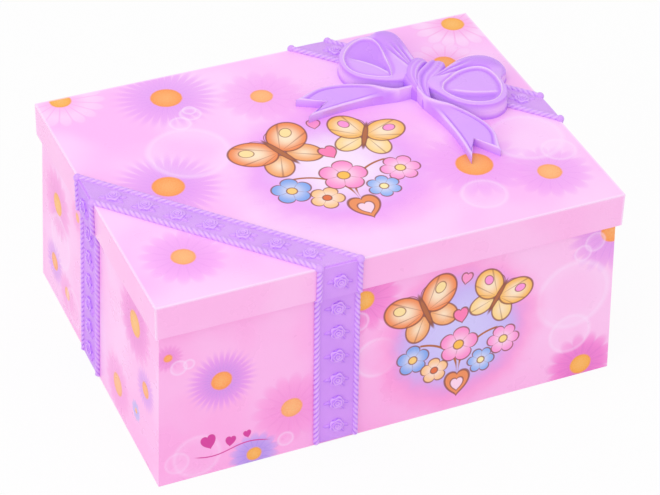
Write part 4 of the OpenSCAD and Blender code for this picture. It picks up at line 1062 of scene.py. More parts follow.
@dataclass
class BaseRibbon(Ribbon):
    """Ribbon down one leaning wall of the base, from under the lid to the table."""

    start: float = -31.5
    width: float = 16.2
    foot: float = -70.6
    head: float = -68.2
    roses: tuple[float, ...] = (8.0, 19.2, 30.4, 41.6, 52.8, 64.0)

    def skin(self) -> Skin:
        """Build the ribbon on the front wall, whose X runs from start."""
        skin = Skin()
        lean = np.array([0, -SHOULDER, self.head - self.foot])
        bottom = 1.0
        edges = [(np.array([x, self.wall(bottom), bottom]), np.array([x, self.head, SHOULDER]))
                 for x in (self.start, self.start + self.width)]
        self.line(skin, edges, lean)
        for z in self.roses:
            middle = (self.start + self.width / 2, self.wall(z) - self.band_t, z)
            self.rose(skin, Place(middle, (1, 0, 0), lean), 0)
        return skin

    def wall(self, z: float) -> float:
        """The leaning wall's Y at a height."""
        return self.foot + (self.head - self.foot) * z / SHOULDER


@dataclass(frozen=True)
class RibbonPlastic(Plastic):
    """Ribbon plastic: a weave of crossing threads on the band, from its own UV in millimetres."""

    thread: float = 0.62

    def surface(self, tree: NodeTree, colour: Socket) -> Socket:
        """Lay gloss and weave over a colour, with painted light on top and painted shade in the
        weave.

        Args:
            tree: The material's nodes.
            colour: The colour over the surface.

        Returns:
            The shader.
        """
        uv = tree.node("ShaderNodeUVMap", {"uv_map": "UVMap"})
        along, across, _ = tree.split(uv)
        warp = (across * (TAU / self.thread)).sin()
        weft = (along * (TAU / self.thread)).sin()
        weave = (warp * weft * 0.5 + 0.5) * (across + along).step(0.0, 0.01)
        lump = tree.noise(1.1, 3)
        bump = tree.node("ShaderNodeBump", {}, {
            "Strength": 0.9, "Distance": 0.09 * MM, "Height": weave + lump * 0.35})
        gloss = tree.noise(0.3, 2).step(0.3, 0.7, self.roughness - 0.05, self.roughness + 0.07)
        # Painted light: the ribbon is paler where it lies on the lid's top, as lit from above.
        height = tree.split(tree.placed())[2]
        colour = tree.mix(height.step(TOP - 0.6, TOP + 0.4) * 0.4, colour, linear(self.crest_highlight))
        # Painted shade in the gaps between the woven threads.
        dark = tree.mix(weave.step(0.75, 0.1) * 0.18, colour, linear(self.deep))
        return tree.node("ShaderNodeBsdfPrincipled", {}, {
            "Base Color": dark, "Roughness": gloss, "Normal": bump, "IOR": 1.47,
            "Subsurface Weight": self.subsurface, "Subsurface Scale": 1.5 * MM})


# ---------------------------------------------------------------- bow

@dataclass(frozen=True)
class LoopForm:
    """A loop with the ribbon that rolls over behind it, as places round it from the knot.

    Each row holds the rim's X, Y and height, and the X and Y of the hollow panel's lip. The crease
    crosses the panel and the folds leave the knot; both are lines from one point to another.
    """

    rows: tuple[tuple[float, ...], ...]
    crease: tuple[float, float, float, float]
    folds: tuple[tuple[float, float, float, float], ...]


LEFT_LOOP = LoopForm(
    ((-7.5, -4.0, 6.6, -14.2, 0.9), (-15.5, -3.4, 6.9, -15.8, -1.0), (-22.5, 0.0, 7.0, -21.6, 1.2),
     (-28.0, 4.6, 7.0, -26.8, 5.4), (-30.4, 10.5, 7.0, -29.2, 10.6),
     (-30.0, 17.5, 7.0, -28.6, 17.2), (-27.0, 23.6, 7.0, -25.6, 22.7),
     (-21.9, 28.4, 6.9, -20.8, 27.2), (-16.2, 30.9, 6.6, -15.6, 29.4),
     (-10.8, 31.8, 6.0, -12.0, 28.6), (-5.8, 34.2, 5.6, -10.6, 26.2),
     (-1.4, 34.0, 5.4, -10.2, 23.2), (1.4, 30.6, 5.3, -10.4, 19.8), (1.8, 24.0, 5.4, -10.9, 15.9),
     (1.2, 16.0, 5.6, -11.6, 12.0), (0.6, 9.0, 6.0, -12.3, 8.3), (-0.5, 2.5, 6.4, -13.0, 5.0),
     (-3.5, -1.5, 6.6, -13.6, 2.8)),
    (-23.9, 17.6, -13.9, 2.1),
    ((-5.4, 3.5, -8.6, 26.0), (-4.4, 4.5, -5.4, 28.0), (-3.2, 5.0, -2.4, 27.0)))
RIGHT_LOOP = LoopForm(
    ((-4.5, -9.0, 6.6, 1.4, -13.6), (-2.6, -16.5, 6.9, -0.2, -17.5), (0.4, -24.0, 7.0, 1.6, -23.0),
     (5.0, -29.6, 7.0, 5.6, -28.1), (10.6, -32.6, 7.0, 10.4, -30.9),
     (16.6, -33.0, 7.0, 15.8, -31.4), (22.0, -29.8, 7.0, 20.6, -28.4),
     (25.0, -23.6, 6.9, 23.6, -22.8), (26.0, -17.0, 6.6, 24.6, -16.6),
     (28.6, -13.6, 6.0, 24.2, -12.2), (32.0, -9.6, 5.6, 23.0, -9.0), (32.2, -3.4, 5.4, 20.6, -7.0),
     (29.6, 1.6, 5.3, 17.6, -6.3), (24.4, 4.2, 5.3, 14.4, -6.4), (17.6, 3.6, 5.5, 11.2, -7.2),
     (11.6, 0.8, 5.9, 8.2, -8.6), (6.0, -2.6, 6.3, 5.6, -10.2), (0.0, -5.4, 6.6, 3.2, -11.8)),
    (3.0, -17.4, 21.1, -25.5),
    ((2.5, -6.4, 25.0, 0.6), (3.0, -7.4, 25.0, -3.4)))


def curve(rows: np.ndarray, count: int, closed: bool) -> np.ndarray:
    """Smooth curve through rows: between each two, a cubic whose slopes follow their neighbours.

    Args:
        rows: One row a place.
        count: Points along the curve.
        closed: Whether it returns to its start.

    Returns:
        The points, one row each.
    """
    number = len(rows)
    way = np.linspace(0, number if closed else number - 1, count, endpoint=not closed)
    first = np.minimum(np.floor(way).astype(int), number - (1 if closed else 2))
    t = (way - first)[:, None]
    mode = "wrap" if closed else "clip"
    a, b, c, d = (rows.take(first + k, axis=0, mode=mode) for k in (-1, 0, 1, 2))
    return b + t / 2 * (c - a + t * (2 * a - 5 * b + 4 * c - d + t * (3 * (b - c) + d - a)))


@dataclass
class Bow:
    """Moulded bow: two loops that roll over behind, two tails and a crossed knot."""

    centre: tuple[float, float, float] = (56.0, 28.0, TOP)
    tail_turns: tuple[float, float] = (181.0, -88.0)
    loop_h: float = 7.0
    lip_h: float = 7.15
    round: int = 200
    tail_l: float = 55.0
    tail_w: float = 14.5

    def beside(self, x: np.ndarray, y: np.ndarray, line: Vec) -> tuple[np.ndarray, np.ndarray]:
        """Way along a line, from 0 to 1, and distance to its left."""
        run = np.array([line[2] - line[0], line[3] - line[1]])
        length = np.linalg.norm(run)
        dx, dy = x - line[0], y - line[1]
        return (dx * run[0] + dy * run[1]) / length ** 2, (dy * run[0] - dx * run[1]) / length

    def roll(self, form: LoopForm, rim: np.ndarray, rim_h: np.ndarray,
             lip: np.ndarray) -> tuple[np.ndarray, np.ndarray]:
        """Shape the ribbon from a loop's rim to its panel's lip.

        The rim is rolled by a quarter circle. The wide run behind swells by a half sine, with
        folds that are bell-shaped grooves.

        Args:
            form: The loop's places.
            rim: X and Y round the rim.
            rim_h: Heights round the rim.
            lip: X and Y round the panel's lip.

        Returns:
            The points and their painted shade, below nought a painted highlight.
        """
        wide = np.linalg.norm(lip - rim, axis=-1)
        s = np.concatenate([np.array([0, 0.015, 0.035, 0.06, 0.09, 0.13]),
                            np.linspace(0.17, 1, 34)])[:, None]
        x, y = (rim + s[..., None] * (lip - rim)).transpose(2, 0, 1)
        soft = 0.5 + 1.9 * smooth((wide - 2) / 7)
        inward = np.clip(s * wide / soft, 0, 1)
        broad = smooth((wide - 3) / 7)
        height = rim_h + (self.lip_h - rim_h) * s + 1.0 * np.sin(np.pi * s) * broad
        height = (height - 0.9 * soft * (1 - np.sqrt(1 - (1 - inward) ** 2))
                  - 0.3 * smooth((s - 0.86) / 0.1) * (1 - smooth((s - 0.96) / 0.04)) * broad)
        # Painted shade before the lip, in the fold grooves and on the run behind the loop; painted
        # highlight where the rim rolls over and on the crests beside the folds.
        tone = 0.35 * hump(s - 0.9, 0.05) * broad - 0.3 * hump(inward - 0.9, 0.5)
        for fold in form.folds:
            way, off = self.beside(x, y, fold)
            fade = (smooth((way + 0.1) / 0.15) * (1 - smooth((way - 0.25) / 0.65))
                    * smooth((wide - 3) / 5))
            groove = hump(off, 0.42 + 0.5 * np.clip(way, 0, 1))
            crest_highlight = hump(np.abs(off) - 1.3, 0.6)
            height = height + fade * (0.22 * crest_highlight - 0.75 * groove)
            tone = tone + fade * (0.85 * groove - 0.3 * crest_highlight)
        behind = self.behind(rim, wide)
        return np.stack([x, y, height], axis=-1), tone + behind * (0.55 - 0.35 * s)

    def behind(self, rim: np.ndarray, wide: np.ndarray) -> np.ndarray:
        """Share of the wide run behind a loop, from nought at the knot."""
        return smooth((wide - 6) / 6) * smooth((np.linalg.norm(rim, axis=-1) - 12) / 12)

    def panel(self, form: LoopForm, lip: np.ndarray, hand: int) -> tuple[np.ndarray, np.ndarray]:
        """Shape a loop's hollow panel, whose rings shrink from its lip to its middle.

        The panel has a raised brim and sinks on the far side of its crease.

        Args:
            form: The loop's places.
            lip: X and Y round the panel's lip.
            hand: 1 where the roll lies to the left of the crease, -1 where it lies to the right.

        Returns:
            The points and their painted shade, below nought a painted highlight.
        """
        middle = lip.mean(axis=1, keepdims=True)
        away = lip - middle
        reach = np.linalg.norm(away, axis=-1)
        gap = np.array([0.25, 0.5, 0.75, 1.0, 1.25, 1.6, 2.0])[:, None]
        near = 1 - gap / reach
        far = (1 - 2.0 / reach) * np.linspace(0.92, 0.0, 22)[:, None]
        share = np.concatenate([near, far])
        inner = middle + share[..., None] * away
        deep = (1 - share) * reach
        edge = 0.3 * hump(deep - 0.3, 0.3) - 0.85 * smooth((deep - 0.45) / 0.8)
        way, off = self.beside(inner[..., 0], inner[..., 1], form.crease)
        off = off * hand
        within = smooth((deep - 1.0) / 2.5)
        off = off - 1.2 * np.sin(np.pi * np.clip(way, 0, 1))
        start = smooth((way + 0.1) / 0.3)
        sink = (smooth((off + 0.2) / 1.6) * np.exp(-np.clip(off, 0, None) / 8.0)
                * (0.5 + 0.5 * start))
        ridge = hump(off + 0.45, 0.5) * start
        height = (self.lip_h + edge
                  + within * (0.25 * ridge - 1.3 * sink + 0.35 * smooth(-off / 3)))
        # Painted highlight on the brim, the crease and beside it, and painted shade inside the brim
        # and where the panel sinks.
        shade = -1.0 * hump(deep - 0.35, 0.42) + 0.2 * hump(deep - 1.4, 0.4)
        shade = shade + within * (0.5 * sink - 0.8 * ridge - 0.25 * smooth(-off / 2))
        return np.append(inner, height[..., None], axis=-1), shade

    def loop(self, skin: Skin, form: LoopForm, hand: int) -> None:
        """Add a loop: its rings go up the wall, over the rolled ribbon and into the panel.

        Args:
            skin: Where it goes.
            form: Its places.
            hand: 1 where the roll lies to the left of the crease, -1 where it lies to the right.
        """
        rows = curve(np.array(form.rows), self.round, True)
        rim, rim_h, lip = rows[None, :, :2], rows[None, :, 2], rows[None, :, 3:]
        top, tone = self.roll(form, rim, rim_h, lip)
        inner, shade = self.panel(form, lip, hand)
        foot = np.array([-0.25, 0.1, 0.5, 1.2, 2.4, 4.0])[:, None]
        flare = np.array([0.45, 0.42, 0.32, 0.2, 0.1, 0.03])[:, None]
        out = turned(np.append(np.roll(rim, -1, 1) - np.roll(rim, 1, 1), 0 * rim[..., :1],
                               axis=-1), hand * 90)
        out = out[..., :2] / np.linalg.norm(out[..., :2], axis=-1, keepdims=True)
        low = rim + flare[..., None] * out
        wall = np.append(low, foot[..., None] * np.minimum(1, top[0, :, 2] / 5)[None, :, None],
                         axis=-1)
        middle = lip.mean(axis=1, keepdims=True)
        base = np.append(middle + 0 * lip, np.full((1, self.round, 1), -0.25), axis=-1)
        behind = self.behind(rim, np.linalg.norm(lip - rim, axis=-1))
        # Painted shade under the loop, at the foot of its wall and where it lies behind, and a
        # painted highlight higher up the wall.
        side = 0.25 - 0.95 * smooth(foot / 2.5) + 0.8 * behind
        tones = [np.full((1, self.round), 0.5), side + 0 * wall[..., 0], tone, shade]
        skin.grid(np.concatenate([base, wall, top, inner]), wrap_v=True,
                  shade=np.concatenate(tones))

    def tail(self, skin: Skin, turn: float, length: float, mirrored: bool = False) -> None:
        """Add a tail: a band that stands on edge at the knot, turns flat and ends in a notch.

        Its ridge crosses from the front edge to the back edge as it turns. A thin raised line
        follows the flat part's edges, and the notch grows with the sixth power of the way along.

        Args:
            skin: Where it goes.
            turn: The tail's direction in degrees.
            length: Its length.
            mirrored: Whether it is turned over sideways.
        """
        u = np.concatenate([np.linspace(0, 0.9, 80), np.linspace(0.91, 1, 28)])[:, None]
        edge = np.array([0, 0.012, 0.025, 0.04, 0.06, 0.08, 0.095, 0.11, 0.125, 0.14, 0.16, 0.18])
        t = np.concatenate([edge, np.linspace(0.2, 0.8, 21), 1 - edge[::-1]])[None, :]
        v = 2 * t - 1
        front = 3 + 6 * smooth(u / 0.2) - 2 * np.sin(math.pi * np.clip(u - 0.3, 0, 1) / 0.7)
        wide = self.tail_w * (0.26 + 0.74 * smooth((u - 0.28) / 0.5)
                              - 0.12 * smooth((u - 0.8) / 0.2))
        notch = 0.2 * self.tail_l * u ** 6 * (1 - np.abs(v))
        flat = smooth((u - 0.4) / 0.16)
        back = 1 - t
        crossing = smooth((u - 0.26) / 0.24) + 0 * t
        high = (self.loop_h - 0.7 - 2.5 * smooth((u - 0.42) / 0.34) - 0.5 * u
                - 3.5 * (1 - smooth((u - 0.05) / 0.1)))
        lean = 1.7 * smooth((u - 0.26) / 0.14) * (1 - smooth((u - 0.5) / 0.25))
        slope = np.clip((crossing - back) / np.maximum(crossing, 0.05), 0, 1)
        height = high - lean * slope - 2.6 * smooth((back - crossing - 0.22) / 0.6)
        inward = np.minimum(np.minimum(t, 1 - t) * wide, (1 - u) * length * 0.8)
        border = 0.3 * (1 - smooth((inward - 1.15) / 0.4)) - 0.22 * hump(inward - 1.75, 0.3)
        wave = 0.3 * np.sin(TAU * u) * v
        ridge = hump((back - crossing) * wide, 0.8) * (1 - flat)
        rounded = 0.45 * (1 - smooth(inward / 0.5))
        top = np.stack([length * u - notch, front - wide * (1 - v) / 2,
                        height + flat * (border + wave) + 0.15 * ridge - rounded], axis=-1)
        # Painted shade in the groove inside the border and where the band falls away behind its
        # ridge, painted highlight on the edge, the flat part and the ridge, and a faint painted
        # highlight at the foot.
        line = hump(inward - 1.7, 0.3)
        rim = hump(inward - 0.45, 0.4)
        tone = flat * (0.8 * line - 0.6 * rim - 0.2) - 0.75 * ridge + 0.5 * (1 - flat) * smooth(
            (back - crossing - 0.3) / 0.5)
        if mirrored:
            top = top * [1, -1, 1]
        skin.slab(turned(top, turn), -0.25, shade=tone, foot=-0.1)

    def wrap(self, skin: Skin, places: Sequence[Vec], folds: Sequence[tuple[float, float]]) -> None:
        """Add one band of the knot: its edges roll down and grooves run along it.

        Args:
            skin: Where it goes.
            places: Rows of X, Y, height and width along it.
            folds: Each groove's place across, from -1 to 1, and its depth; a ridge is below nought.
        """
        rows = curve(np.array(places, float), 64, False)
        run = np.gradient(rows[:, :2], axis=0)
        side = (np.stack([-run[:, 1], run[:, 0]], axis=-1)
                / np.linalg.norm(run, axis=1, keepdims=True))
        u = np.linspace(0, 1, 64)[:, None]
        v = np.linspace(-1, 1, 41)[None, :]
        place = rows[:, None, :2] + side[:, None] * (v * rows[:, 3:] / 2)[..., None]
        roll = 2.6 * np.abs(v) ** 4.5 * np.minimum(1, rows[:, 3:] / 5)
        ends = 1 - np.sqrt(np.clip(1 - np.abs(2 * u - 1) ** 14, 0, 1))
        high = rows[:, 2:3] * (1 - 0.75 * ends) - roll
        # Painted shade at the rolled edges, in the grooves and at the foot, and a painted highlight
        # on the ridges.
        tone = 0.45 * np.abs(v) ** 12 + 0 * u
        for at, depth in folds:
            groove = hump(v - at, 0.13) * np.sin(np.pi * u) ** 0.5
            high = high - depth * groove
            tone = tone + 1.3 * depth * groove
        top = np.append(place, np.maximum(high, 0.2)[..., None], axis=-1)
        skin.slab(top, -0.25, shade=tone, foot=0.6)

    def skin(self) -> Skin:
        """Build the bow on the lid."""
        skin = Skin()
        self.loop(skin, LEFT_LOOP, 1)
        self.loop(skin, RIGHT_LOOP, -1)
        self.tail(skin, self.tail_turns[0], self.tail_l)
        self.tail(skin, self.tail_turns[1], 1.06 * self.tail_l, True)
        self.wrap(skin, ((8.6, 5.2, 5.2, 6.4), (6.6, 2.8, 7.0, 7.8), (2.4, -1.2, 7.5, 9.6),
                         (-2.2, -4.8, 7.3, 9.2), (-4.9, -9.2, 6.9, 7.0), (-6.1, -13.2, 6.5, 4.6),
                         (-6.9, -17.8, 6.1, 3.2)),
                  ((-0.6, -0.3), (-0.2, 0.45), (0.2, -0.25), (0.66, -0.3)))
        self.wrap(skin, ((4.6, 7.4, 5.4, 4.6), (0.4, 6.2, 7.4, 6.4), (-4.6, 2.2, 8.05, 7.4),
                         (-7.6, -2.6, 8.05, 6.8), (-8.5, -6.6, 7.6, 5.0), (-8.0, -9.6, 6.2, 3.2),
                         (-7.3, -12.4, 3.6, 1.6)),
                  ((-0.5, 0.3), (0.1, -0.25), (0.64, -0.4)))
        return skin.moved(lambda p: p + np.array(self.centre))


# ---------------------------------------------------------------- dancer

class Finish(Enum):
    """Plain finishes of the small pieces."""

    DOLL_HAIR = Plastic("doll_hair", "7A4A2C", "4E2B18", 0.38, 0.05, 1.4, 0.05)
    SATIN = Plastic("bodice_satin", "D9A6F4", "B27CDB", 0.3, 0.03, 9.0, 0.1, sheen=0.3)
    SHOE = Plastic("shoe_satin", "F59BC8", "D9709F", 0.32, 0.02, 9.0, 0.1, sheen=0.3)
    PEARL = Plastic("table_pearl", "E9D8FB", "D3B9F2", 0.22, 0.01, 2.0, 0.3)
    TRAY = Plastic("tray_pink", "F9A6DC", "F089CB", 0.55, 0.05, 5.0, 0.4)
    FRAME = Plastic("mirror_frame_lavender", "D9A9FF", "B77BEA", 0.34, 0.02, 2.0, 0.4)
    BRASS = Metal("movement_brass", "DDB76A", 0.27)
    STEEL = Metal("movement_steel", "B9BCC2", 0.3)
    NICKEL = Metal("key_nickel", "D9D9DC", 0.16)
    ZINC = Metal("cast_zinc", "A9ABB0", 0.46, 1.2)


@dataclass(frozen=True)
class DollFace(Plastic):
    """Doll's plastic, with a face painted on the front of the head."""

    centre: tuple[float, float, float] = (0.0, 44.8, 71.7)
    ink: str = "4A2A1E"
    lips: str = "D8467A"
    blush: str = "F79AA8"

    def made(self) -> bpy.types.Material:
        """Build the material: ovals on the head's front, mirrored by the absolute X."""
        tree = NodeTree(self.name)
        x, y, z = (part - at for part, at in zip(tree.split(tree.placed()), self.centre))
        across = abs(x)
        front = y.step(-0.6, -1.2)

        def spot(at: float, up: float, wide: float, tall: float, soft: float = 0.12) -> Socket:
            """Mask of an oval on the face."""
            a, b = (across - at) / wide, (z - up) / tall
            return (a * a + b * b).step(1 + soft / min(wide, tall),
                                        1 - soft / min(wide, tall)) * front

        tone = tree.noise(0.3, 2).step(0.3, 0.7)
        colour = tree.mix(tone * 0.3, linear(self.colour), linear(self.deep))
        colour = tree.mix(spot(1.15, -0.55, 0.62, 0.5, 0.3) * 0.55, colour, linear(self.blush))
        colour = tree.mix(spot(0.86, 0.12, 0.36, 0.42, 0.04), colour, linear("FFFFFF"))
        colour = tree.mix(spot(0.84, 0.08, 0.25, 0.33, 0.04), colour, linear("3E6FA8"))
        colour = tree.mix(spot(0.84, 0.06, 0.13, 0.18, 0.03), colour, linear(self.ink))
        lash = spot(0.88, 0.26, 0.46, 0.36, 0.04) * (z - 0.36).step(-0.03, 0.03)
        colour = tree.mix(lash, colour, linear(self.ink))
        brow = spot(0.86, 0.62, 0.5, 0.24, 0.04) * (z - 0.72).step(-0.03, 0.03)
        colour = tree.mix(brow * 0.8, colour, linear("8A5A3C"))
        colour = tree.mix(spot(0.0, -1.02, 0.34, 0.15, 0.04), colour, linear(self.lips))
        return tree.finish(self.surface(tree, colour))


@dataclass
class Ballerina:
    """The turning dancer: one leg to the knee, both arms over the head."""

    height: float = 37.0
    foot: tuple[float, float, float] = (0.0, TURN_Y, 40.8)

    def tube(self, skin: Skin, stations: Sequence[tuple[float, ...]], around: int = 24) -> None:
        """Loft a limb: stations are joined by straight runs that are rounded by a smoothed average.

        Args:
            skin: Where it goes.
            stations: X, Y, Z, radius and depth over width, as shares of the height.
            around: Points round it.
        """
        rows = np.asarray(stations, float)
        way = np.linspace(0, len(rows) - 1, 12 * (len(rows) - 1) + 1)
        line = np.stack([np.interp(way, np.arange(len(rows)), rows[:, i]) for i in range(5)],
                        axis=-1)
        kernel = np.hanning(13)[1:-1]
        padded = np.pad(line, ((5, 5), (0, 0)), mode="edge")
        soft = np.stack([np.convolve(padded[:, i], kernel / kernel.sum(), "valid")
                         for i in range(5)], -1)
        soft[0], soft[-1] = line[0], line[-1]
        run = np.gradient(soft[:, :3], axis=0)
        run /= np.linalg.norm(run, axis=1, keepdims=True)
        side = np.cross(run, [0.0, 1.0, 0.0])
        side /= np.linalg.norm(side, axis=1, keepdims=True)
        fore = np.cross(side, run)
        v = np.linspace(0, TAU, around, endpoint=False)
        wide = soft[:, 3, None, None] * np.cos(v)[None, :, None] * side[:, None, :]
        deep = ((soft[:, 3] * soft[:, 4])[:, None, None] * np.sin(v)[None, :, None]
                * fore[:, None, :])
        skin.grid(self.placed(soft[:, None, :3] + wide + deep), wrap_v=True, caps=(True, True))

    def placed(self, share: np.ndarray) -> np.ndarray:
        """Carry shares of the height to the row frame."""
        return share * self.height + np.array(self.foot)

    def ball(self, skin: Skin, centre: Vec, radii: Vec) -> None:
        """Add an oval ball, as shares of the height."""
        a = np.linspace(0.02, math.pi - 0.02, 24)[:, None]
        b = np.linspace(0, TAU, 36, endpoint=False)[None, :]
        ball = np.stack([np.sin(a) * np.cos(b), np.sin(a) * np.sin(b), np.cos(a) + 0 * b], axis=-1)
        skin.grid(self.placed(np.asarray(centre) + ball * np.asarray(radii)), wrap_v=True,
                  caps=(True, True))

    def knit(self, made: bpy.types.Object, voxel: float, rounds: int) -> bpy.types.Object:
        """Join a piece's overlapping forms into one smooth skin.

        Args:
            made: The piece.
            voxel: The remesh's cell in millimetres.
            rounds: Rounds of smoothing.

        Returns:
            The same piece with its new mesh.
        """
        material = made.data.materials[0]
        grid = made.modifiers.new("join", "REMESH")
        grid.mode, grid.voxel_size = "VOXEL", voxel * MM
        soft = made.modifiers.new("soften", "SMOOTH")
        soft.factor, soft.iterations = 0.5, rounds
        bpy.context.view_layer.update()
        done = bpy.data.meshes.new_from_object(
            made.evaluated_get(bpy.context.evaluated_depsgraph_get()))
        made.modifiers.clear()
        made.data = done
        done.name = made.name
        done.materials.clear()
        done.materials.append(material)
        done.shade_smooth()
        return made

    def body(self) -> bpy.types.Object:
        """Legs, trunk, neck, arms and head as one skin."""
        skin = Skin()
        self.tube(skin, ((0, 0, 0.01, 0.012, 1.2), (0, 0.001, 0.06, 0.014, 1),
                         (0.001, 0.002, 0.12, 0.02, 1), (0.002, 0.003, 0.18, 0.027, 1.05),
                         (0.003, -0.004, 0.26, 0.023, 1), (0.01, -0.006, 0.35, 0.033, 1),
                         (0.019, 0, 0.45, 0.043, 1), (0.02, 0, 0.51, 0.04, 1)))
        self.tube(skin, ((-0.019, 0, 0.5, 0.04, 1), (-0.05, -0.02, 0.455, 0.036, 1),
                         (-0.112, -0.052, 0.385, 0.024, 1), (-0.085, -0.047, 0.345, 0.025, 1),
                         (-0.045, -0.04, 0.29, 0.017, 1), (-0.019, -0.034, 0.255, 0.012, 1),
                         (-0.004, -0.032, 0.225, 0.01, 1)))
        self.tube(skin, ((0, 0, 0.46, 0.045, 0.8), (0, 0, 0.5, 0.056, 0.8),
                         (0, 0, 0.545, 0.048, 0.78), (0, 0, 0.6, 0.036, 0.78),
                         (0, -0.002, 0.65, 0.046, 0.8), (0, 0, 0.7, 0.05, 0.62),
                         (0, 0, 0.725, 0.026, 0.8), (0, -0.002, 0.76, 0.0165, 1),
                         (0, -0.005, 0.8, 0.017, 1)), 32)
        for side in (-1, 1):
            self.tube(skin, ((side * 0.03, 0, 0.705, 0.019, 1), (side * 0.052, 0, 0.72, 0.0185, 1),
                             (side * 0.09, -0.012, 0.775, 0.0145, 1),
                             (side * 0.12, -0.025, 0.83, 0.0125, 1),
                             (side * 0.1, -0.032, 0.89, 0.012, 1),
                             (side * 0.06, -0.037, 0.95, 0.009, 1),
                             (side * 0.03, -0.038, 0.98, 0.011, 0.5),
                             (side * 0.012, -0.038, 0.992, 0.004, 0.6)))
        self.ball(skin, (0, -0.005, 0.842), (0.054, 0.055, 0.062))
        self.ball(skin, (0, -0.012, 0.808), (0.037, 0.038, 0.032))
        self.ball(skin, (0, -0.0605, 0.824), (0.006, 0.007, 0.008))
        made = skin.piece(
            "dancer_body",
            DollFace("doll_skin", "FFD6C2", "F7BFA8", 0.36, 0.01, edge=0.02,
                     subsurface=0.12).made(),
            "dancer", "skin", ["ballerina"])
        return self.knit(made, 0.2, 6)

    def hair(self) -> bpy.types.Object:
        """Combed hair with a bun."""
        skin = Skin()
        a = np.linspace(0.02, math.pi - 0.02, 30)[:, None]
        b = np.linspace(0, TAU, 48, endpoint=False)[None, :]
        combed = 1 + 0.012 * np.cos(26 * b) * np.sin(a)
        cap = np.stack([0.058 * np.sin(a) * np.cos(b) * combed,
                        0.056 * np.sin(a) * np.sin(b) * combed,
                        0.0635 * np.cos(a) * combed], axis=-1)
        cap = turned(cap, -38, 0) + [0, 0.003, 0.846]
        cap[..., 1] = np.where(cap[..., 2] < 0.868,
                               np.maximum(cap[..., 1], -0.016 + 0 * cap[..., 1]),
                               cap[..., 1])
        skin.grid(self.placed(cap), wrap_v=True, caps=(True, True))
        turn = 1 + 0.05 * np.cos(7 * b + 5 * a)
        bun = np.stack([0.034 * np.sin(a) * np.cos(b) * turn, 0.03 * np.sin(a) * np.sin(b) * turn,
                        0.026 * np.cos(a) + 0 * b], axis=-1)
        skin.grid(self.placed(bun + [0, 0.016, 0.913]), wrap_v=True, caps=(True, True))
        return skin.piece("dancer_hair", Finish.DOLL_HAIR.value.made(), "dancer", "skin", sharp=70)

    def bodice(self) -> None:
        """Fitted bodice with two straps, and the shoes with their ribbons."""
        skin = Skin()
        self.tube(skin, ((0, 0, 0.5, 0.058, 0.82), (0, 0, 0.545, 0.0515, 0.8),
                         (0, 0, 0.6, 0.0395, 0.82), (0, -0.002, 0.648, 0.0495, 0.86),
                         (0, -0.001, 0.678, 0.0515, 0.74)), 40)
        for side in (-1, 1):
            self.tube(skin, ((side * 0.03, -0.03, 0.664, 0.0055, 1),
                             (side * 0.038, -0.026, 0.7, 0.0045, 1),
                             (side * 0.04, -0.002, 0.724, 0.0045, 1),
                             (side * 0.036, 0.024, 0.705, 0.0045, 1),
                             (side * 0.03, 0.032, 0.664, 0.005, 1)), 12)
            self.ball(skin, (side * 0.022, -0.028, 0.662), (0.024, 0.02, 0.022))
        self.knit(skin.piece("dancer_bodice", Finish.SATIN.value.made(), "dancer", "net"), 0.2, 4)
        shoes = Skin()
        self.tube(shoes, ((0, 0, 0.004, 0.012, 1.1), (0, 0, 0.03, 0.0155, 1.15),
                          (0, 0.002, 0.07, 0.0155, 1)), 16)
        self.tube(shoes, ((0.004, -0.0305, 0.212, 0.0075, 1), (-0.008, -0.033, 0.234, 0.013, 1),
                          (-0.021, -0.035, 0.262, 0.0145, 1)), 16)
        for i, z in enumerate((0.085, 0.105, 0.125)):
            v = np.linspace(0, TAU, 24, endpoint=False)[:, None]
            w = np.linspace(0, TAU, 8, endpoint=False)[None, :]
            radius = 0.0175 + 0.0022 * i + 0.0022 * np.cos(w)
            wrap = np.stack([radius * np.cos(v), radius * np.sin(v) + 0.0015,
                             z + 0.0035 * np.sin(w) + 0.008 * np.cos(v) * (-1) ** i], axis=-1)
            shoes.grid(self.placed(wrap), wrap_u=True, wrap_v=True)
        shoes.piece("dancer_shoes", Finish.SHOE.value.made(), "dancer", "skin")

    def build(self) -> None:
        """Build the dancer."""
        self.body()
        self.hair()
        self.bodice()


@dataclass(frozen=True)
class Net:
    """Fine net, stiff and shiny: its threads cross on its own UV and the rest is clear."""

    name: str = "tutu_net"
    colour: str = "F3D2FF"
    pitch: float = 0.42

    def made(self) -> bpy.types.Material:
        """Build the material."""
        tree = NodeTree(self.name)
        uv = tree.node("ShaderNodeUVMap", {"uv_map": "UVMap"})
        a, b, _ = tree.split(uv)
        one = abs(((a + b) * (math.pi / self.pitch)).sin())
        two = abs(((a - b) * (math.pi / self.pitch)).sin())
        threads = one.least(two).step(0.42, 0.2)
        hem = b.step(9.6, 9.9)
        cover = (threads * 0.5 + 0.42).most(hem)
        tone = tree.mix(hem * 0.7 + threads * 0.2, linear(self.colour), linear("E2A8F8"))
        return tree.finish(tree.node("ShaderNodeBsdfPrincipled", {}, {
            "Base Color": tone, "Alpha": cover,
            "Roughness": tree.noise(0.4).step(0.3, 0.7, 0.4, 0.55),
            "Sheen Weight": 0.5, "Sheen Roughness": 0.35}))


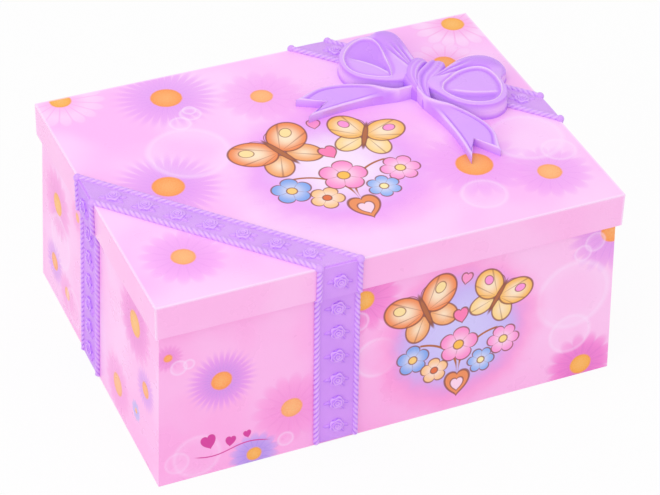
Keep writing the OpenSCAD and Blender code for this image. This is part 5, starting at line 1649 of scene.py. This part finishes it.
@dataclass
class Tutu:
    """Three gathered layers of net round the waist."""

    centre: tuple[float, float, float] = (0.0, TURN_Y, 60.965)
    inner: float = 1.95
    reach: float = 12.1
    columns: int = 560

    def layer(self, number: int, material: bpy.types.Material) -> bpy.types.Object:
        """Build one layer.

        The net is gathered to nothing at the waist. Its frills are cosines of the turn whose
        height grows outwards, and the edge hangs by the square of the way out.

        Args:
            number: Which layer, from the top.
            material: Its finish.

        Returns:
            The piece.
        """
        reach = self.reach - 0.55 * number
        t = np.linspace(0, 1, 22)[:, None]
        v = np.linspace(0, TAU, self.columns, endpoint=False)[None, :]
        frill = (np.cos((26 + 3 * number) * v + 1.3 * np.sin(3 * v))
                 + 0.3 * np.cos((11 + number) * v + number))
        radius = self.inner + (reach - self.inner) * t
        high = (0.45 - 0.75 * number + (0.12 + 0.62 * t ** 0.9) * frill * t ** 0.6
                + 0.5 * t - 1.0 * t ** 2)
        points = np.stack([radius * np.cos(v), radius * np.sin(v), high], axis=-1)
        uv = np.stack(np.broadcast_arrays(v * radius.mean() * 1.3, (reach - self.inner) * t),
                      axis=-1)
        skin = Skin()
        skin.grid(points + np.array(self.centre), wrap_v=True, uv=uv)
        depth = np.linalg.norm(np.diff(points[:, 0], axis=0), axis=-1).sum() * MM
        made = skin.piece(f"tutu_layer_{number + 1}", material, "dancer", "net",
                          ["tutu"] if number == 0 else ())
        thick = made.modifiers.new("thickness", "SOLIDIFY")
        thick.thickness, thick.offset = 0.1 * MM, 0
        depth = max(depth, 0.01)
        return made

    def build(self) -> None:
        """Build the layers."""
        net = Net().made()
        for number in range(3):
            self.layer(number, net)


# ---------------------------------------------------------------- interior

@dataclass(frozen=True)
class Flock:
    """Short flock pile: soft and pale where it stands, with painted shade in its dents."""

    name: str
    colour: str
    deep: str

    def made(self) -> bpy.types.Material:
        """Build the material."""
        tree = NodeTree(self.name)
        pile = tree.noise(6.0, 4, roughness=0.7)
        brushed = tree.noise(0.12, 3).step(0.35, 0.65)
        shade = tree.shade()
        # Painted shade from the shade attribute, most in the dents.
        colour = tree.mix((brushed * 0.35 + pile.step(0.35, 0.65) * 0.25).most(shade * 0.8),
                          linear(self.colour), linear(self.deep))
        bump = tree.node("ShaderNodeBump", {},
                         {"Strength": 0.8, "Distance": 0.12 * MM, "Height": pile})
        return tree.finish(tree.node("ShaderNodeBsdfPrincipled", {}, {
            "Base Color": colour, "Roughness": brushed.step(0, 1, 0.8, 0.95), "Normal": bump,
            "Sheen Weight": 0.6, "Sheen Roughness": 0.5}))


@dataclass(frozen=True)
class Tray(Plastic):
    """The tray's plastic, with flock on the floors and walls of its wells."""

    deck: float = 38.0

    def made(self) -> bpy.types.Material:
        """Build the material."""
        tree = NodeTree(self.name)
        z = tree.split(tree.placed())[2]
        tone = tree.noise(0.035, 3).step(0.3, 0.7)
        plain = tree.mix(tone * 0.25, linear(self.colour), linear(self.deep))
        pile = tree.noise(6.0, 4, roughness=0.7)
        lining = tree.mix(pile.step(0.35, 0.65), linear("F6C3EA"), linear("E79CD3"))
        lined = z.step(self.deck - 1.0, self.deck - 1.3)
        edge = tree.node("ShaderNodeBevel", {"samples": 4}, {"Radius": 0.5 * MM})
        bump = tree.node("ShaderNodeBump", {}, {
            "Strength": 0.7, "Distance": 0.1 * MM, "Height": pile * lined, "Normal": edge})
        return tree.finish(tree.node("ShaderNodeBsdfPrincipled", {}, {
            "Base Color": tree.mix(lined, plain, lining), "Normal": bump,
            "Roughness": lined.step(0, 1, 0.4, 0.9)}))


@dataclass
class RingCushion:
    """Padded rolls that grip rings between them."""

    low: tuple[float, float, float] = (29.68, -60.44, 14.0)
    wide: float = 55.76
    pitch: float = 13.796
    rolls: int = 6
    top: float = 26.7

    def build(self) -> bpy.types.Object:
        """Build the cushion.

        Across the rolls the height is the root of the sine of the way over each roll, so that it
        falls steeply into the slits. It sinks at both ends with the eighth power.

        Returns:
            The piece.
        """
        skin = Skin()
        a = np.linspace(-1, 1, 64)[None, :]
        share = np.linspace(0, 1, 26)
        pads = (np.arange(self.rolls)[:, None] + share[None, :]).ravel()[:, None]
        over = np.tile(np.sin(np.pi * share), self.rolls)[:, None]
        crown = np.clip(over, 0, 1) ** 0.42 * (1 - 0.16 * a ** 8)
        pucker = 0.12 * np.cos(21 * a + 2.0 * np.floor(pads)) * (1 - over)
        slit = 19.6
        high = slit + (self.top - slit) * crown + pucker
        x = self.low[0] + self.wide / 2 * (1 + a * (1 - 0.015 * (1 - over)))
        y = self.low[1] + self.pitch * pads + 0 * a
        # The shade is painted shade, deepest in the slits between the rolls.
        skin.slab(np.stack([x, y, high], axis=-1), self.low[2], shade=(1 - over) ** 2 + 0 * a)
        made = skin.piece("ring_pad", Flock("cushion_flock", "FBE1F5", "E3AFDB").made(), "box",
                          "velvet", ["ring_cushion"], sharp=80)
        return made


@dataclass(frozen=True)
class MirrorGlass:
    """Silvered glass with a faint haze."""

    name: str = "silvered_mirror"

    def made(self) -> bpy.types.Material:
        """Build the material."""
        tree = NodeTree(self.name)
        haze = tree.noise(0.05, 3).step(0.45, 0.7)
        colour = tree.mix(haze * 0.3, linear("EEF1F4"), linear("DCE2E8"))
        return tree.finish(tree.node("ShaderNodeBsdfPrincipled", {}, {
            "Base Color": colour, "Metallic": 1.0, "Roughness": haze.step(0, 1, 0.015, 0.05)}))


# ---------------------------------------------------------------- stage

@dataclass(frozen=True)
class Lamp:
    """A soft square lamp that faces the box: its place in metres, its watts and its tint."""

    name: str
    at: tuple[float, float, float]
    power: float
    tint: tuple[float, float, float] = (1, 1, 1)
    aim: tuple[float, float, float] = (0, 0, 0.05)
    side: float = 0.8

    def build(self) -> None:
        """Hang the lamp: it is tilted from straight down, then turned about the upright."""
        data = bpy.data.lights.new(self.name, "AREA")
        data.size, data.energy, data.color = self.side, self.power, self.tint
        made = bpy.data.objects.new(self.name, data)
        made.location = self.at
        away = np.subtract(self.at, self.aim)
        tilt = math.acos(away[2] / np.linalg.norm(away))
        made.rotation_euler = (0, tilt, math.atan2(away[1], away[0]))
        bpy.context.scene.collection.objects.link(made)


@dataclass
class Studio:
    """Pale floor, soft lamps and the camera."""

    camera_at: tuple[float, float, float] = (-0.312789, -0.70433, 0.622653)
    camera_turn: tuple[float, float, float, float] = (0.8786415, 0.4329482, -0.099462, -0.1750781)
    lens: float = 131.73146
    lamps: tuple[Lamp, ...] = (
        Lamp("top_lamp", (-0.45, -0.15, 1.35), 3.0),
        Lamp("left_lamp", (-1.3, -0.5, 0.7), 3.0, (1, 0.98, 1.1)),
        Lamp("front_lamp", (0.3, -1.5, 0.6), 1.8))

    def camera(self) -> None:
        """Place the camera."""
        data = bpy.data.cameras.new("camera")
        data.lens = self.lens
        data.sensor_width = 36.0
        data.clip_start, data.clip_end = 0.01, 100
        made = bpy.data.objects.new("camera", data)
        made.location = self.camera_at
        made.rotation_mode = "QUATERNION"
        made.rotation_quaternion = self.camera_turn
        bpy.context.scene.collection.objects.link(made)
        bpy.context.scene.camera = made

    def seen_white(self, tree: NodeTree) -> Socket:
        """Mask of the rays from the camera, from gloss and through glass."""
        rays = tree.node("ShaderNodeLightPath").output.node.outputs
        seen = Socket(tree, rays["Is Camera Ray"]).most(Socket(tree, rays["Is Glossy Ray"]))
        return seen.most(Socket(tree, rays["Is Transmission Ray"]))

    def floor(self) -> None:
        """Lay a pale floor that reads as white and keeps the object's shadow."""
        tree = NodeTree("pale_floor")
        matt = tree.node("ShaderNodeBsdfDiffuse", {}, {"Color": (0.86, 0.86, 0.86, 1)})
        glow = tree.node("ShaderNodeEmission", {}, {"Color": (1, 1, 1, 1), "Strength": 1.0})
        seen = self.seen_white(tree) * 0.93
        material = tree.finish(tree.node("ShaderNodeMixShader", {}, {0: seen, 1: matt, 2: glow}))
        mesh = bpy.data.meshes.new("floor")
        mesh.from_pydata([(-6, -6, 0), (6, -6, 0), (6, 6, 0), (-6, 6, 0)], [], [(0, 1, 2, 3)])
        mesh.materials.append(material)
        made = bpy.data.objects.new("floor", mesh)
        bpy.context.scene.collection.objects.link(made)

    def world(self) -> None:
        """Light the room evenly, and show white behind the object."""
        world = bpy.data.worlds.new("room")
        world.use_nodes = True
        nodes, links = world.node_tree.nodes, world.node_tree.links
        nodes.clear()
        rays = nodes.new("ShaderNodeLightPath")
        dim = nodes.new("ShaderNodeBackground")
        dim.inputs["Color"].default_value = (1, 0.985, 0.99, 1)
        dim.inputs["Strength"].default_value = 0.82
        white = nodes.new("ShaderNodeBackground")
        white.inputs["Strength"].default_value = 1.0
        mix = nodes.new("ShaderNodeMixShader")
        out = nodes.new("ShaderNodeOutputWorld")
        links.new(rays.outputs["Is Camera Ray"], mix.inputs[0])
        links.new(dim.outputs[0], mix.inputs[1])
        links.new(white.outputs[0], mix.inputs[2])
        links.new(mix.outputs[0], out.inputs["Surface"])
        bpy.context.scene.world = world

    def build(self) -> None:
        """Set the stage."""
        self.camera()
        self.floor()
        self.world()
        for lamp in self.lamps:
            lamp.build()
        bpy.context.scene.view_settings.view_transform = "Standard"


# ---------------------------------------------------------------- main

PLAIN_NODES = {
    Finish.TRAY: ("bottom_cover",),
    Finish.FRAME: ("mirror_frame",),
    Finish.PEARL: ("turntable",),
    Finish.NICKEL: ("winding_key",),
    Finish.ZINC: ("bedplate",),
    Finish.STEEL: (
        "hinge_pins", "cover_screws", "movement_screws", "comb_screws", "music_comb",
        "ratchet_click", "winding_arbor", "cylinder_arbor", "governor_shaft", "spindle",
        "mainspring", "stop_plunger", "plunger_spring", "fly"),
    Finish.BRASS: (
        "spindle_bush", "cylinder_bearings", "spindle_bracket", "governor_frame", "ratchet_wheel",
        "spring_barrel", "barrel_cap", "pinned_cylinder", "drive_pinion", "governor_drive_wheel",
        "dancer_crown_wheel", "governor_pinion", "worm_wheel", "worm", "spindle_pinion"),
}


def dress(node: str, material: bpy.types.Material) -> None:
    """Give a CAD node its finish."""
    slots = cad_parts[node].material_slots
    if not slots:
        raise ValueError(f"{node} has no material slot")
    for slot in slots:
        slot.link = "OBJECT"
        slot.material = material
    LOG.info("%s: %s", node, material.name)


def main() -> None:
    """Build and dress every piece in order."""
    logging.basicConfig(level=logging.INFO, format="%(name)s: %(message)s")
    Studio().build()
    dress("lid_shell", PrintedLid().made())
    dress("base_shell", PrintedBase().made())
    # The third colour is also the painted shade in grooves; the crest colour is the painted
    # highlight on crests and the painted light on top.
    lavender = RibbonPlastic("ribbon_lavender", "E0A2FF", "AE6AF4", 0.34, crest_highlight="F0C6FF")
    ribbon = lavender.made()
    LidRibbon().skin(range(7)).piece("ribbon_lid_front", ribbon, "lid",
                                     replaces=["lid_ribbon_front"])
    back = LidRibbon().skin((0, 6)).moved(lambda p: turned(p, 180))
    back.piece("ribbon_lid_back", ribbon, "lid", replaces=["lid_ribbon_back"])
    long_side = BaseRibbon()
    short_side = BaseRibbon(start=-15.7246, width=17.4246, foot=-95.6, head=-93.2)
    bands = {"front": (long_side, 0), "back": (long_side, 180),
             "left": (short_side, -90), "right": (short_side, 90)}
    for side, (band, turn) in bands.items():
        skin = band.skin().moved(lambda p, t=turn: turned(p, t))
        skin.piece(f"ribbon_base_{side}", ribbon, "box", replaces=[f"base_ribbon_{side}"])
    # The third colour is also the painted shade in grooves; the crest colour is the painted
    # highlight on crests.
    bow = Plastic("bow_lavender", "D696FF", "B672F6", 0.27, 0.006, edge=0.25, crest_highlight="F8D6FF")
    Bow().skin().piece("satin_bow", bow.made(), "lid", replaces=["bow"])
    Ballerina().build()
    Tutu().build()
    RingCushion().build()
    dress("deck_tray", Tray("flocked_tray", "F9A6DC", "F089CB").made())
    dress("mirror_glass", MirrorGlass().made())
    for finish, nodes in PLAIN_NODES.items():
        material = finish.value.made()
        for node in nodes:
            dress(node, material)


if __name__ == "__main__":
    main()
